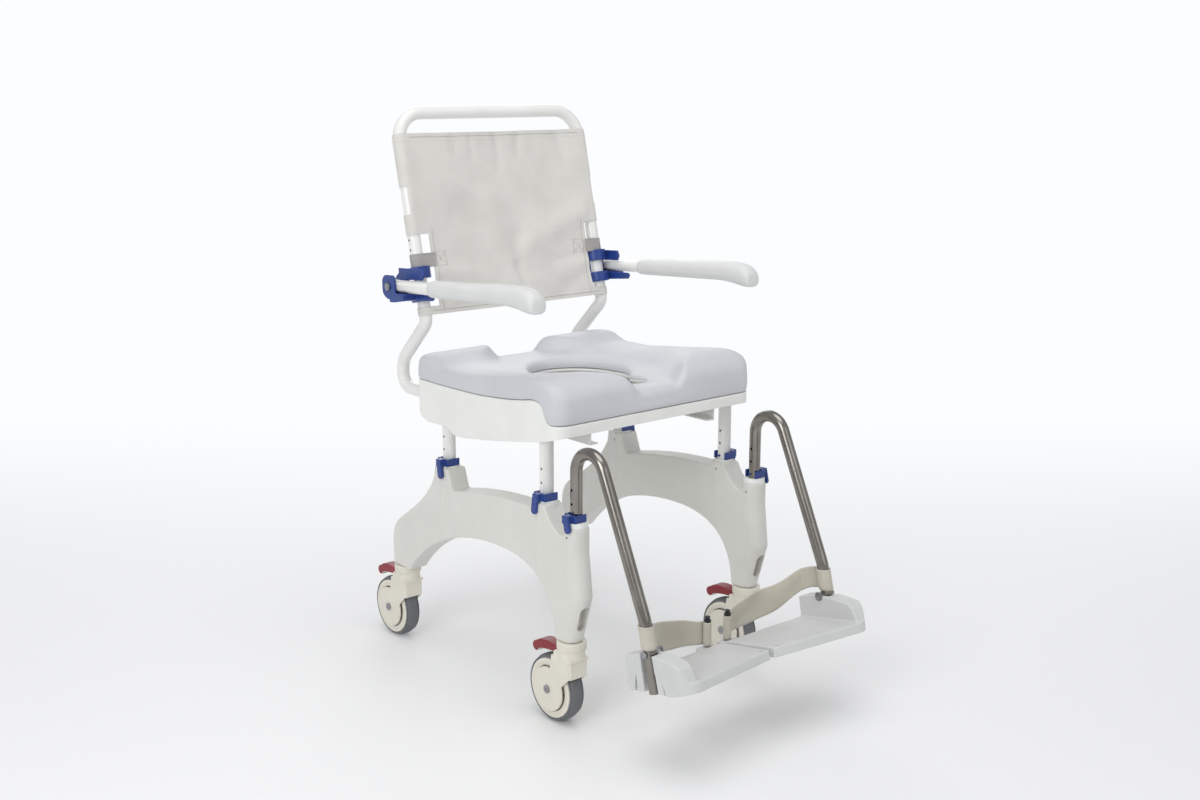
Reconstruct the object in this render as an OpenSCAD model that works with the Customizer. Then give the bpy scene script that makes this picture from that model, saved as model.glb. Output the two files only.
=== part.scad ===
// Transit commode chair with height-adjustable seat and swing-away footrests.
// Millimetres. The chair faces -Y, the floor is at z = 0, and the user's right side is at -X.
// Left-hand pieces are built as modelled and right-hand pieces are their mirror images.

/* [Side frames] */
// Distance between the centre planes of the two side frames
track_w = 440; // [430:1:460]
// Distance between the front and rear castor swivels
wheelbase = 537; // [525:1:560]
// Distance between the front and rear posts of one side frame, as a share of the wheelbase
post_pitch_share = 0.57; // [0.56:0.005:0.58]
// Front post's distance behind the front swivel
front_post_inset = 68; // [66:1:74]
// Height of the post sockets' rims
rim_z = 406; // [400:1:415]
// Height of the leg bottoms
leg_z = 165; // [162:1:168]
// Thickness of a side frame
frame_t = 42; // [40:1:46]
// Bore of the sockets that take the guide bushes
socket_d = 31; // [30:0.5:33]

/* [Castors] */
// Wheel diameter
wheel_d = 125; // [118:1:127]
// Wheel width
wheel_w = 32; // [28:1:34]
// Wheel axle's distance behind the swivel axis
trail = 44; // [40:1:48]
// Thickness of the tyre's tread
tread_t = 7; // [5:0.5:9]
// Swivel stem diameter
stem_d = 11; // [10:0.5:12]
// Wheel axle diameter
axle_d = 8; // [8:0.5:10]
// Thickness of a fork leg
fork_t = 4; // [3.5:0.1:5]

/* [Posts and clips] */
// Post tube diameter
post_d = 25; // [24:0.5:26]
// Wall of the posts and of the seat's tubes
tube_wall = 1.5; // [1.2:0.1:2]
// Distance between two height holes
hole_pitch = 25; // [22:1:28]
// Clip pin diameter
pin_d = 5; // [4:0.25:6]
// Height of a clip's band
band_h = 14; // [12:0.5:16]
// Thickness of a clip's arms
clip_t = 3; // [2.5:0.1:3.5]

/* [Seat] */
// Seat width
seat_w = 480; // [474:1:500]
// Seat depth
seat_d = 452; // [440:1:460]
// Height of the seam between shell and pad at the rear
seam_z = 569; // [567:1:580]
// Height of the pad's corners above the seam
pad_h = 48; // [40:1:56]
// Wall of the seat shell
shell_t = 4; // [3:0.25:5]
// Diameter of the two rails under the seat
rail_d = 30; // [29:0.5:32]
// Half width of the opening in the seat
opening_half_w = 92; // [84:1:100]
// Half width of the opening's front slot
slot_half_w = 42; // [36:1:50]

/* [Backrest] */
// Centre height of the push bar
push_bar_z = 1071; // [1050:1:1100]
// Lean of the uprights in degrees
lean = 12.8; // [10:0.1:14]
// Bend radius of the push bar's corners
bar_bend_r = 55; // [45:1:65]
// Height of the cover's lower edge
cover_low_z = 690; // [684:1:700]
// Height of the cover's upper edge
cover_high_z = 1031; // [1015:1:1036]
// Thickness of the textile
cloth_t = 1.4; // [1:0.1:2]

/* [Arms] */
// Height of the arms' pivots
arm_pivot_z = 747; // [740:1:755]
// Distance of an arm's centre line from the middle of the chair
arm_x = 258; // [256:0.5:264]
// Arm tube diameter
arm_d = 24; // [22:0.5:25]
// Length from the pivot to the arm pad's nose
arm_len = 452; // [430:1:470]
// Length of the arm pad
arm_pad_l = 322; // [290:1:330]
// Width of the arm pad
arm_pad_w = 41; // [38:0.5:42]

/* [Footrests] */
// Footrest tube diameter
hanger_d = 22; // [21:0.5:23]
// Footrest socket's distance ahead of the front swivel
hanger_lead = 15; // [14:0.5:17]
// Height of the receiver's rim
receiver_z = 378; // [374:1:384]
// Centre height of the hook's crest
hook_z = 515; // [500:1:530]
// Bend radius of the hook
hook_r = 38; // [34:1:42]
// Height of the footplates' pivots
foot_pivot_z = 205; // [202:1:210]
// Pivots' distance ahead of the footrest sockets
foot_reach = 192; // [186:1:200]
// Tilt of the footplates in degrees, toes up
foot_tilt = 11.5; // [9:0.5:13]
// Length of a footplate
plate_l = 132; // [124:1:140]
// Thickness of a footplate
plate_t = 18; // [14:0.5:20]

/* [Hidden] */

// Right is the mirrored side.
RIGHT = -1;
LEFT = 1;

// General clearances and the number of faces on round surfaces
fit_gap = 0.05;    // radial clearance of a running fit
seat_gap = 0.3;    // clearance of a piece that rests on another
side_gap = 0.5;    // clearance between moving sides
overrun = 1;       // how far a cut passes through a face
fine = 64;

frame_colour = [0.84, 0.84, 0.81];
white_plastic = [0.93, 0.94, 0.92];
white_paint = [0.95, 0.95, 0.94];
pad_colour = [0.82, 0.83, 0.85];
cloth_colour = [0.81, 0.80, 0.77];
clip_colour = [0.12, 0.20, 0.48];
cream = [0.90, 0.89, 0.84];
tyre_colour = [0.33, 0.34, 0.36];
pedal_colour = [0.66, 0.13, 0.16];
steel_colour = [0.72, 0.71, 0.69];
dark_colour = [0.20, 0.20, 0.21];

// Main places along the chair, measured from the middle of its length
front_swivel_shift_share = -0.324;
front_swivel_y = wheelbase * front_swivel_shift_share;
rear_swivel_y = front_swivel_y + wheelbase;
front_post_y = front_swivel_y + front_post_inset;
post_pitch = wheelbase * post_pitch_share;
rear_post_y = front_post_y + post_pitch;
hanger_y = front_swivel_y - hanger_lead;
side_x = track_w / 2;
frame_in_x = side_x - frame_t / 2;
frame_out_x = side_x + frame_t / 2;

// Round parts of a side frame stand a little proud of its flat sides
tower_proud = 0.6;
tower_r = frame_t / 2 + tower_proud;
nose_r = frame_t / 2 - tower_proud;
nose_sides = 32;
socket_depth = 128;
socket_floor_z = rim_z - socket_depth;
receiver_depth = 84;
receiver_floor_z = receiver_z - receiver_depth;
frame_h = rim_z - leg_z;

// Bushes
bush_flange_h = 2.7;
bush_flange_d = 37;
hanger_bush_d = 30;
hanger_collar_h = 10;
hanger_collar_d = 40;

// Clips stand on the bushes' flanges.
clip_z = rim_z + bush_flange_h + seat_gap + band_h / 2;
hanger_clip_z = receiver_z + fit_gap + hanger_collar_h + seat_gap + band_h / 2;
clip_travel = 40;

// Points on a cubic curve between the first and the last of four control points
function curve(p, steps, first = 0) = [for (i = [first : steps]) let (t = i / steps, s = 1 - t)
    s * s * s * p[0] + 3 * s * s * t * p[1] + 3 * s * t * t * p[2] + t * t * t * p[3]];

// A table of shares as places: from an origin, times a size in each direction
function placed(shares, origin, size) =
    [for (p = shares) [origin[0] + p[0] * size[0], origin[1] + p[1] * size[1]]];

// Smooth step from 0 to 1
function smooth(t) = let (c = min(1, max(0, t))) c * c * (3 - 2 * c);

module on_side(side) {
    if (side == LEFT) children();
    else mirror([1, 0, 0]) children();
}

// Extrudes a drawing of the YZ plane from x0 to x1.
module across(x0, x1) {
    translate([x0, 0, 0]) rotate([90, 0, 90]) linear_extrude(x1 - x0) children();
}

// A rod along X
module rod(x0, x1, y, z, d) {
    translate([x0, y, z]) rotate([0, 90, 0]) cylinder(d = d, h = x1 - x0, $fn = fine);
}

// Rectangle with round corners, centred
module round_plate(w, l, r) {
    difference() {
        square([w, l], center = true);
        for (sx = [-1, 1], sy = [-1, 1])
            translate([sx * w / 2, sy * l / 2]) difference() {
                square(2 * r, center = true);
                translate([-sx * r, -sy * r]) circle(r, $fn = fine);
            }
    }
}

// Bent round tubes: straight runs between tangent points and a true arc at every corner
function unit(v) = v / norm(v);
function turn(p, i) = acos(unit(p[i] - p[i - 1]) * unit(p[i + 1] - p[i]));
function tangent_len(p, r, i) = i == 0 || i == len(p) - 1 ? 0 : r[i - 1] * tan(turn(p, i) / 2);

module oriented(origin, ex, ey, ez) {
    multmatrix([
        [ex[0], ey[0], ez[0], origin[0]],
        [ex[1], ey[1], ez[1], origin[1]],
        [ex[2], ey[2], ez[2], origin[2]],
        [0, 0, 0, 1]
    ]) children();
}

module ring_section(d, bore) {
    difference() {
        circle(d = d, $fn = fine);
        if (bore > 0) circle(d = bore, $fn = fine);
    }
}

// The wall is a little thinner in the bends, and straight runs reach a lap into them.
bend_thin = 0.1;
bend_lap = 0.8;

module bent_tube(p, r, d, bore) {
    last = len(p) - 1;
    for (i = [0 : last - 1]) {
        dir = unit(p[i + 1] - p[i]);
        from = p[i] + dir * (tangent_len(p, r, i) - (i == 0 ? 0 : bend_lap));
        to = p[i + 1] - dir * (tangent_len(p, r, i + 1) - (i == last - 1 ? 0 : bend_lap));
        side = abs(dir[0]) < 0.9 ? unit(cross(dir, [1, 0, 0])) : unit(cross(dir, [0, 1, 0]));
        oriented(from, side, cross(dir, side), dir) linear_extrude(norm(to - from)) ring_section(d, bore);
    }
    for (i = [1 : last - 1]) {
        d_in = unit(p[i] - p[i - 1]);
        d_out = unit(p[i + 1] - p[i]);
        n = unit(cross(d_in, d_out));
        out = cross(d_in, n);
        oriented(p[i] - d_in * tangent_len(p, r, i) - out * r[i - 1], out, d_in, n)
            rotate_extrude(angle = turn(p, i), $fn = 2 * fine)
                translate([r[i - 1], 0]) ring_section(d - 2 * bend_thin, bore + 2 * bend_thin);
    }
}

// Side frame: shares of the wheelbase from the front swivel, and of the frame's height from the legs
arch_front_shares = [[0.04, 0], [0.052, 0.415], [0.173, 0.539], [0.341, 0.539]];
arch_rear_shares = [[0.341, 0.539], [0.583, 0.548], [0.797, 0.353], [0.928, 0]];
rear_leg_shares = [[1.039, 0], [1.039, 0.207]];
rear_flank_shares = [[1.039, 0.207], [1.035, 0.373], [0.993, 0.419], [0.927, 0.515]];
rear_shoulder_shares = [[0.927, 0.515], [0.853, 0.622], [0.778, 0.747], [0.743, 0.913]];
web_top_shares = [[0.625, 0.84], [0.46, 0.921], [0.341, 0.942], [0.2, 0.95]];
frame_origin = [front_swivel_y, leg_z];
frame_size = [wheelbase, frame_h];
curve_steps = 10;

function frame_curve(shares, first = 0) =
    curve(placed(shares, frame_origin, frame_size), curve_steps, first);

// The front edge leans out to a shoulder above the oval hole and back in to the leg.
shoulder_z_share = 0.37;
shoulder_lead = 12;
shoulder_z = leg_z + frame_h * shoulder_z_share;
shoulder_y = hanger_y - shoulder_lead;
toe_y = front_swivel_y;
dip_y_share = 0.45;
dip_depth = 16;
dip_y = front_post_y + (hanger_y - front_post_y) * dip_y_share;

module frame_outline() {
    tower_front = rear_post_y - tower_r;
    polygon(concat(
        frame_curve(arch_front_shares),
        frame_curve(arch_rear_shares, 1),
        placed(rear_leg_shares, frame_origin, frame_size),
        frame_curve(rear_flank_shares, 1),
        frame_curve(rear_shoulder_shares, 1),
        [[rear_post_y + tower_r, rim_z], [rear_post_y, rim_z]],
        [[tower_front, rim_z],
            [tower_front - tower_r * web_foot_share, rim_z - frame_h * web_foot_drop_share]],
        frame_curve(web_top_shares),
        [[front_post_y, rim_z - web_top_drop], [front_post_y, rim_z], [front_post_y - tower_r / 2, rim_z]],
        [[dip_y, receiver_z - dip_depth], [hanger_y, receiver_z - dip_depth], [hanger_y, receiver_z]],
        [[shoulder_y, shoulder_z], [toe_y, leg_z]]
    ));
}
web_foot_share = 0.6;
web_foot_drop_share = 0.15;
web_top_drop = 10;

// Oval hole in the frame's front edge
oval_h = 48;
oval_w = 20;
oval_depth = 32;
oval_z = leg_z + oval_h;
wall_hole_d = 5;
wall_hole_drop = 16;

module nose(from, to) {
    hull() for (p = [from, to]) translate([side_x, p[0], p[1]])
        cylinder(r = nose_r, h = overrun, $fn = nose_sides);
}

module side_frame(side) {
    shoulder = [shoulder_y, shoulder_z];
    color(frame_colour) on_side(side) difference() {
        union() {
            across(frame_in_x, frame_out_x) frame_outline();
            for (y = [front_post_y, rear_post_y])
                translate([side_x, y, socket_floor_z]) cylinder(r = tower_r, h = socket_depth, $fn = fine);
            translate([side_x, hanger_y, receiver_floor_z])
                cylinder(r = tower_r, h = receiver_depth, $fn = fine);
            nose([hanger_y, receiver_z - tower_r], shoulder);
            nose(shoulder, [toe_y, leg_z]);
        }
        // Flat leg bottoms
        translate([side_x, 0, leg_z - tower_r])
            cube([2 * frame_t, 2 * wheelbase, 2 * tower_r], center = true);
        // Post sockets, footrest receiver and castor sockets
        for (y = [front_post_y, rear_post_y])
            translate([side_x, y, socket_floor_z + shell_t])
                cylinder(d = socket_d, h = socket_depth, $fn = fine);
        translate([side_x, hanger_y, receiver_floor_z + shell_t])
            cylinder(d = hanger_bush_d + 2 * fit_gap, h = receiver_depth, $fn = fine);
        for (y = [front_swivel_y, rear_swivel_y])
            translate([side_x, y, leg_z - overrun]) cylinder(d = stem_d, h = stem_l + overrun, $fn = fine);
        // Holes in the walls below the rims
        for (y = [front_post_y, rear_post_y])
            rod(frame_in_x - overrun, frame_out_x + overrun, y, rim_z - wall_hole_drop, wall_hole_d);
        rod(frame_in_x - overrun, frame_out_x + overrun, hanger_y, receiver_z - wall_hole_drop, wall_hole_d);
        // Oval hole
        translate([side_x, shoulder_y - tower_r + oval_depth, oval_z]) rotate([90, 0, 0])
            linear_extrude(2 * tower_r) {
                for (s = [-1, 1]) translate([0, s * (oval_h - oval_w) / 2]) circle(d = oval_w, $fn = fine);
                square([oval_w, oval_h - oval_w], center = true);
            }
        // Seats of the plugs
        for (p = plug_places) rod(frame_out_x - plug_t, frame_out_x + overrun, p[0], p[1], plug_d);
    }
}

// Plugs: shares of the wheelbase and of the frame's height
plug_shares = [[0.283, 0.84], [0.013, 0.4]];
plug_places = placed(plug_shares, frame_origin, frame_size);
plug_d = 8;
plug_t = 3;

module frame_plugs() {
    color(frame_colour) for (side = [RIGHT, LEFT], p = plug_places) on_side(side)
        rod(frame_out_x - plug_t, frame_out_x + seat_gap, p[0], p[1], plug_d);
}

// Castor stems: pressed into the legs, with a shoulder that carries the leg
stem_l = 38;
stem_drop = 22;
stem_shoulder_h = 3;
stem_shoulder_d = 30;

module castor_stems() {
    color(steel_colour) for (side = [RIGHT, LEFT], y = [front_swivel_y, rear_swivel_y]) on_side(side)
        translate([side_x, y, leg_z]) {
            cylinder(d = stem_d, h = stem_l, $fn = fine);
            translate([0, 0, -stem_shoulder_h])
                cylinder(d = stem_shoulder_d, h = stem_shoulder_h, $fn = fine);
            translate([0, 0, -stem_drop]) cylinder(d = stem_d, h = stem_drop, $fn = fine);
        }
}

module post_bushes() {
    color(white_plastic) for (side = [RIGHT, LEFT], y = [front_post_y, rear_post_y]) on_side(side)
        translate([side_x, y, 0]) difference() {
            union() {
                translate([0, 0, socket_floor_z + shell_t + seat_gap])
                    cylinder(d = socket_d, h = rim_z - socket_floor_z - shell_t - seat_gap, $fn = fine);
                translate([0, 0, rim_z]) cylinder(d = bush_flange_d, h = bush_flange_h, $fn = fine);
            }
            translate([0, 0, socket_floor_z])
                cylinder(d = post_d + 2 * fit_gap, h = 2 * socket_depth, $fn = fine);
            rod(-frame_t, frame_t, 0, rim_z - wall_hole_drop, wall_hole_d);
        }
}

// Castors
housing_top_z = leg_z - seat_gap;
collar_h = 15;
collar_d = 54;
neck_d = 48;
fork_gap = 2;
fork_in = wheel_w / 2 + fork_gap;
fork_out = fork_in + fork_t;
crown_clear = 5;
crown_z = wheel_d + crown_clear;
cap_r = 41;
hub_face = 1.5;
axle_z = wheel_d / 2;
axle_head_d = 15;
axle_head_t = 3;
guard_t = 4;
// Fork leg: shares of the trail behind the swivel and of the crown's height
fork_front_share = -0.36;
fork_edge_z_share = 0.75;
fork_tip_shares = [1.05, 0.29];
fork_back_shares = [0.72, 1.03];

module fork_leg_outline() {
    translate([trail, axle_z]) circle(r = cap_r, $fn = fine);
    polygon([
        [trail * fork_front_share, crown_z], [trail * fork_front_share, crown_z * fork_edge_z_share],
        [trail * fork_tip_shares[0], crown_z * fork_tip_shares[1]],
        [trail, axle_z], [trail * fork_back_shares[0], crown_z * fork_back_shares[1]]
    ]);
}

// Everything on a castor is drawn with its swivel axis at the origin and trails to +Y.
module at_castor(side, y) {
    on_side(side) translate([side_x, y, 0]) children();
}

pedal_pivot = [trail * 0.42, crown_z + 8];
pedal_pivot_d = 5;

module castor_housing(side, y) {
    crown_l = neck_d - 2 * overrun;
    color(cream) at_castor(side, y) {
        difference() {
            union() {
                translate([0, 0, housing_top_z - collar_h]) cylinder(d = collar_d, h = collar_h, $fn = fine);
                translate([0, 0, crown_z]) cylinder(d = neck_d, h = housing_top_z - crown_z, $fn = fine);
                for (x = [-fork_out, fork_in]) across(x, x + fork_t) fork_leg_outline();
                translate([-fork_out, -crown_l / 2, crown_z]) cube([2 * fork_out, crown_l, shell_t]);
                // Guard ahead of the wheel
                across(-fork_in - overrun, fork_in + overrun) polygon([
                    [trail * fork_front_share - guard_t, crown_z + shell_t / 2],
                    [trail * fork_front_share - guard_t, crown_z * fork_edge_z_share],
                    [trail * fork_front_share + overrun, crown_z * fork_edge_z_share],
                    [trail * fork_front_share + overrun, crown_z + shell_t / 2]
                ]);
                for (x = [-fork_out, fork_in])
                    rod(x, x + fork_t, pedal_pivot[0], pedal_pivot[1], 3 * pedal_pivot_d);
            }
            // Stem with its shoulder, and the axle
            translate([0, 0, housing_top_z - stem_drop - fit_gap])
                cylinder(d = stem_d + 2 * fit_gap, h = stem_drop + overrun, $fn = fine);
            translate([0, 0, leg_z - stem_shoulder_h - seat_gap])
                cylinder(d = stem_shoulder_d + 2 * seat_gap, h = stem_shoulder_h + overrun, $fn = fine);
            rod(-2 * fork_out, 2 * fork_out, trail, axle_z, axle_d);
            // Room for the pedal's root
            translate([-pedal_w / 2 - side_gap, pedal_pivot[0] - pedal_root_r - side_gap, crown_z - overrun])
                cube([pedal_w + 2 * side_gap, neck_d, housing_top_z - collar_h - crown_z - overrun]);
        }
        // Pedal's pin
        rod(-fork_in - overrun, fork_in + overrun, pedal_pivot[0], pedal_pivot[1], pedal_pivot_d);
    }
}

module castor_axle(side, y) {
    color(steel_colour) at_castor(side, y) difference() {
        union() {
            rod(-fork_out, fork_out, trail, axle_z, axle_d);
            rod(fork_out, fork_out + axle_head_t, trail, axle_z, axle_head_d);
            rod(-fork_out - axle_head_t, -fork_out, trail, axle_z, axle_head_d);
        }
        translate([fork_out + axle_head_t - axle_head_t / 2, trail, axle_z]) rotate([0, 90, 0])
            cylinder(d = axle_d / 2, h = axle_head_t, $fn = 6);
    }
}

// Rim and tyre share the cylinder on which the tread is moulded.
tread_round = 10;
rim_t = 13;
disc_t = 6;
module castor_tyre(side, y) {
    rim_r = wheel_d / 2 - tread_t;
    flat = wheel_w / 2 - tread_round;
    color(tyre_colour) at_castor(side, y) translate([0, trail, axle_z]) rotate([0, 90, 0])
        rotate_extrude($fn = 2 * fine) difference() {
            union() {
                translate([0, -flat]) square([wheel_d / 2, 2 * flat]);
                for (s = [-1, 1]) intersection() {
                    translate([wheel_d / 2 - tread_round, s * flat]) circle(r = tread_round, $fn = fine);
                    translate([0, -wheel_w / 2]) square([wheel_d, wheel_w]);
                }
            }
            translate([0, -wheel_w]) square([rim_r, 2 * wheel_w]);
        }
}

module castor_hub(side, y) {
    rim_r = wheel_d / 2 - tread_t;
    color(cream) at_castor(side, y) translate([0, trail, axle_z]) rotate([0, 90, 0])
        rotate_extrude($fn = 2 * fine) difference() {
            union() {
                translate([0, -disc_t]) square([rim_r, 2 * disc_t]);
                translate([rim_r - rim_t, -wheel_w / 2]) square([rim_t, wheel_w]);
                translate([0, -fork_in + side_gap]) square([axle_d, 2 * fork_in - 2 * side_gap]);
            }
            translate([0, -wheel_w]) square([axle_d / 2 + fit_gap, 2 * wheel_w]);
        }
}

// Brake pedal: hinged in the neck, bent over the wheel to its toe behind
pedal_w = 24;
pedal_t = 5;
pedal_edge = 0.5;
pedal_root_r = 6;
pedal_toe_r = 9.5;
pedal_toe_y = trail + 46;
pedal_toe_z = wheel_d + 4;
pedal_over = 21;

module castor_pedal(side, y) {
    toe_edge = pedal_toe_r - pedal_edge;
    top = curve([
        [pedal_pivot[0], pedal_pivot[1] + pedal_t],
        [trail, crown_z + pedal_over],
        [pedal_toe_y - pedal_toe_r, crown_z + pedal_over],
        [pedal_toe_y, pedal_toe_z + toe_edge]
    ], curve_steps);
    low = curve([
        [pedal_toe_y, pedal_toe_z - toe_edge],
        [pedal_toe_y - 1.5 * pedal_toe_r, crown_z + overrun],
        [trail, crown_z + pedal_t],
        [pedal_pivot[0], pedal_pivot[1] - pedal_t]
    ], curve_steps);
    color(pedal_colour) at_castor(side, y) difference() {
        union() {
            rod(-pedal_w / 2, pedal_w / 2, pedal_pivot[0], pedal_pivot[1], 2 * pedal_root_r);
            across(-pedal_w / 2, pedal_w / 2) polygon(concat(top, low));
            rod(-pedal_w / 2, pedal_w / 2, pedal_toe_y, pedal_toe_z, 2 * pedal_toe_r);
        }
        rod(-pedal_w, pedal_w, pedal_pivot[0], pedal_pivot[1], pedal_pivot_d + 2 * fit_gap);
    }
}

// Seat: its rear edge lies behind the rear post, and shares run from the rear edge forward
seat_back_lead = 91;
seat_rear_y = rear_post_y + seat_back_lead;
seat_front_y = seat_rear_y - seat_d;
seat_corner_r = 25;
rail_z = 538;
skirt_h = 100;
// Seam between shell and pad, and lower edge of the shell: shares of the depth, and of the skirt's height
seam_shares = [[-0.02, 0], [0.22, -0.01], [0.43, 0], [0.64, 0.06], [0.78, 0.14], [0.85, 0.19],
    [0.893, 0.16], [0.915, 0.04], [0.935, -0.15], [0.96, -0.19], [1.02, -0.19]];
skirt_shares = [[1.02, -0.37], [0.93, -0.48], [0.88, -0.53], [0.7, -0.68], [0.5, -0.82], [0.32, -0.91],
    [0.23, -0.79], [0.12, -0.8], [0.06, -0.73], [0.03, -0.6], [0, -0.45], [-0.02, -0.45]];
seat_size = [-seat_d, skirt_h];

function seam_points(lift) = placed(seam_shares, [seat_rear_y, seam_z + lift], seat_size);

module seat_plan(inset) {
    translate([0, (seat_rear_y + seat_front_y) / 2])
        round_plate(seat_w - 2 * inset, seat_d - 2 * inset, seat_corner_r - min(inset, seat_corner_r / 2));
}

// Keyhole opening: its round part lies behind the middle of the seat, and its slot runs forward
opening_shares = [0.48, 0.235, 0.875];
opening_y = seat_rear_y - seat_d * opening_shares[0];
opening_half_l = seat_d * opening_shares[1];
slot_front_y = seat_rear_y - seat_d * opening_shares[2];

module keyhole(grow) {
    polygon([for (i = [0 : pad_sectors - 1]) let (d = sector_dir(i))
        pad_centre + d * (pad_inner_r(d) + grow)]);
}

deck_t = 4;
foot_w = 26;
foot_l = 30;
foot_inset = 20;
foot_x = seat_w / 2 - foot_inset;
module seat_base() {
    deck = seam_points(0);
    low = placed(skirt_shares, [seat_rear_y, seam_z], seat_size);
    inner = seat_corner_r;
    color(white_plastic) difference() {
        union() {
            difference() {
                intersection() {
                    translate([0, 0, rail_z - skirt_h]) linear_extrude(2 * skirt_h) seat_plan(0);
                    across(-seat_w, seat_w) polygon(concat(deck, low));
                }
                // Hollow below the deck
                intersection() {
                    translate([0, 0, rail_z - 2 * skirt_h]) linear_extrude(4 * skirt_h) seat_plan(shell_t);
                    across(-seat_w, seat_w) polygon(concat(
                        seam_points(-deck_t),
                        [[seat_front_y - inner, rail_z - skirt_h], [seat_rear_y + inner, rail_z - skirt_h]]
                    ));
                }
            }
            // Feet that stand on the rails
            intersection() {
                for (side = [RIGHT, LEFT], s = foot_shares) on_side(side)
                    translate([foot_x - foot_w / 2, seat_rear_y - seat_d * s - foot_l / 2,
                        rail_z + rail_d / 2 + seat_gap]) cube([foot_w, foot_l, skirt_h]);
                across(-seat_w, seat_w) polygon(concat(deck, low));
            }
        }
        translate([0, 0, rail_z - skirt_h]) linear_extrude(3 * skirt_h) keyhole(side_gap);
        // Holes for the backrest's tubes in the rear wall
        for (side = [RIGHT, LEFT]) on_side(side) translate([side_x, seat_rear_y + overrun, rail_z])
            rotate([90, 0, 0]) cylinder(d = post_d + 2 * side_gap, h = seat_corner_r + overrun, $fn = fine);
    }
}
foot_shares = [0.1, 0.45, 0.72];

// Seat pad: rings from the outer lower edge over the crown to the opening
pad_sectors = 64;
pad_roll = 26;
square_power = 16;
pad_centre = [0, opening_y];
// Height of the rim of the pad along the seat: shares of the depth and of the pad's height
rim_shares = [[0, 0.82], [0.04, 1], [0.1, 0.96], [0.15, 0.8], [0.21, 0.67], [0.34, 0.67], [0.48, 0.8],
    [0.61, 0.93], [0.74, 1.09], [0.87, 1.2], [0.95, 1.08], [1, 0.8]];
inner_h_share = 0.42;
notch_shares = [0.085, 0.15];
dish_shares = [0.2, 0.4];

function sector_dir(i) = let (a = 360 * (i + 0.5) / pad_sectors) [cos(a), sin(a)];
function pad_outer_r(d) = let (
    back = seat_rear_y - pad_centre[1],
    front = pad_centre[1] - seat_front_y,
    half = d[1] > 0 ? back : front)
    pow(pow(abs(d[0]) / (seat_w / 2), square_power) + pow(abs(d[1]) / half, square_power),
        -1 / square_power);
function pad_inner_r(d) = let (
    oval = 1 / norm([d[0] / opening_half_w, d[1] / opening_half_l]),
    reach = pad_centre[1] - slot_front_y,
    slot = d[1] < 0 ? pow(pow(abs(d[0]) / slot_half_w, 4) + pow(abs(d[1]) / reach, 4), -1 / 4) : 0)
    max(oval, slot);
// Height of the crown at a place of the plan
function crown_z_at(p) = let (
    share = (seat_rear_y - p[1]) / seat_d,
    rim = seam_z + pad_h * lookup(share, rim_shares),
    low = seam_z + pad_h * inner_h_share,
    middle = 1 - pow(abs(2 * share - 1), 2),
    from = seat_w * (notch_shares[0] + (dish_shares[0] - notch_shares[0]) * smooth(middle)),
    to = seat_w * (notch_shares[1] + (dish_shares[1] - notch_shares[1]) * smooth(middle)))
    low + (rim - low) * smooth((abs(p[0]) - from) / (to - from));
// Rings: distance in from the outer outline, out from the inner one, and drop below the crown
pad_base_z = seam_z - pad_h;
outer_rings = [[0, 0.9], [0.03, 0.55], [0.14, 0.27], [0.38, 0.08], [0.8, 0]];
inner_rings = [[0.45, 0.03], [0.15, 0.14], [0.02, 0.36], [0, 0.8]];
mid_rings = [0.3, 0.55, 0.8];
corner_ease = 0.4;

function pad_ring_outer(k) = [for (i = [0 : pad_sectors - 1]) let (
    d = sector_dir(i),
    inset = pad_roll * outer_rings[k][0] * (1 + corner_ease * pow(abs(d[0] * d[1]) * 2, 4)),
    p = pad_centre + d * (pad_outer_r(d) - inset))
    [p[0], p[1], crown_z_at(p) - pad_roll * outer_rings[k][1]]];
function pad_ring_mid(k) = [for (i = [0 : pad_sectors - 1]) let (
    d = sector_dir(i), from = pad_outer_r(d) - pad_roll * 0.8, to = pad_inner_r(d) + pad_roll * 0.45,
    p = pad_centre + d * (from + (to - from) * mid_rings[k]))
    [p[0], p[1], crown_z_at(p)]];
function pad_ring_inner(k) = [for (i = [0 : pad_sectors - 1]) let (
    d = sector_dir(i), p = pad_centre + d * (pad_inner_r(d) + pad_roll * inner_rings[k][0]))
    [p[0], p[1], crown_z_at(p) - pad_roll * inner_rings[k][1]]];
function pad_flat_ring(outer) = [for (i = [0 : pad_sectors - 1]) let (
    d = sector_dir(i), p = pad_centre + d * (outer ? pad_outer_r(d) : pad_inner_r(d)))
    [p[0], p[1], pad_base_z]];

// Closed skin over a list of rings; the last ring joins the first
module ring_solid(rings, around) {
    count = len(rings);
    polyhedron(
        points = [for (r = rings) each r],
        faces = [for (k = [0 : count - 1], i = [0 : around - 1]) let (
            n = (k + 1) % count, j = (i + 1) % around,
            a = k * around + i, b = k * around + j, c = n * around + j, e = n * around + i)
            each [[a, c, b], [a, e, c]]],
        convexity = 8);
}

module seat_pad() {
    rings = concat(
        [pad_flat_ring(true)],
        [for (k = [0 : len(outer_rings) - 1]) pad_ring_outer(k)],
        [for (k = [0 : len(mid_rings) - 1]) pad_ring_mid(k)],
        [for (k = [0 : len(inner_rings) - 1]) pad_ring_inner(k)],
        [pad_flat_ring(false)]
    );
    below = seam_z - 2 * skirt_h;
    color(pad_colour) difference() {
        ring_solid(rings, pad_sectors);
        across(-seat_w, seat_w) polygon(concat(
            seam_points(seat_gap),
            [[seat_front_y - seat_corner_r, below], [seat_rear_y + seat_corner_r, below]]
        ));
    }
}

// Seat frame: two rails, two cross tubes and four posts
rail_front_lap = 18;
rail_rear_clear = 25;
post_bottom_clear = 14;
cross_d = 22;
cross_shares = [0.13, 0.9];
hole_count = 7;
rail_front_y = front_post_y - rail_front_lap;
rail_rear_y = seat_rear_y - shell_t - rail_rear_clear;
post_bottom_z = socket_floor_z + post_bottom_clear;

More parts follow.
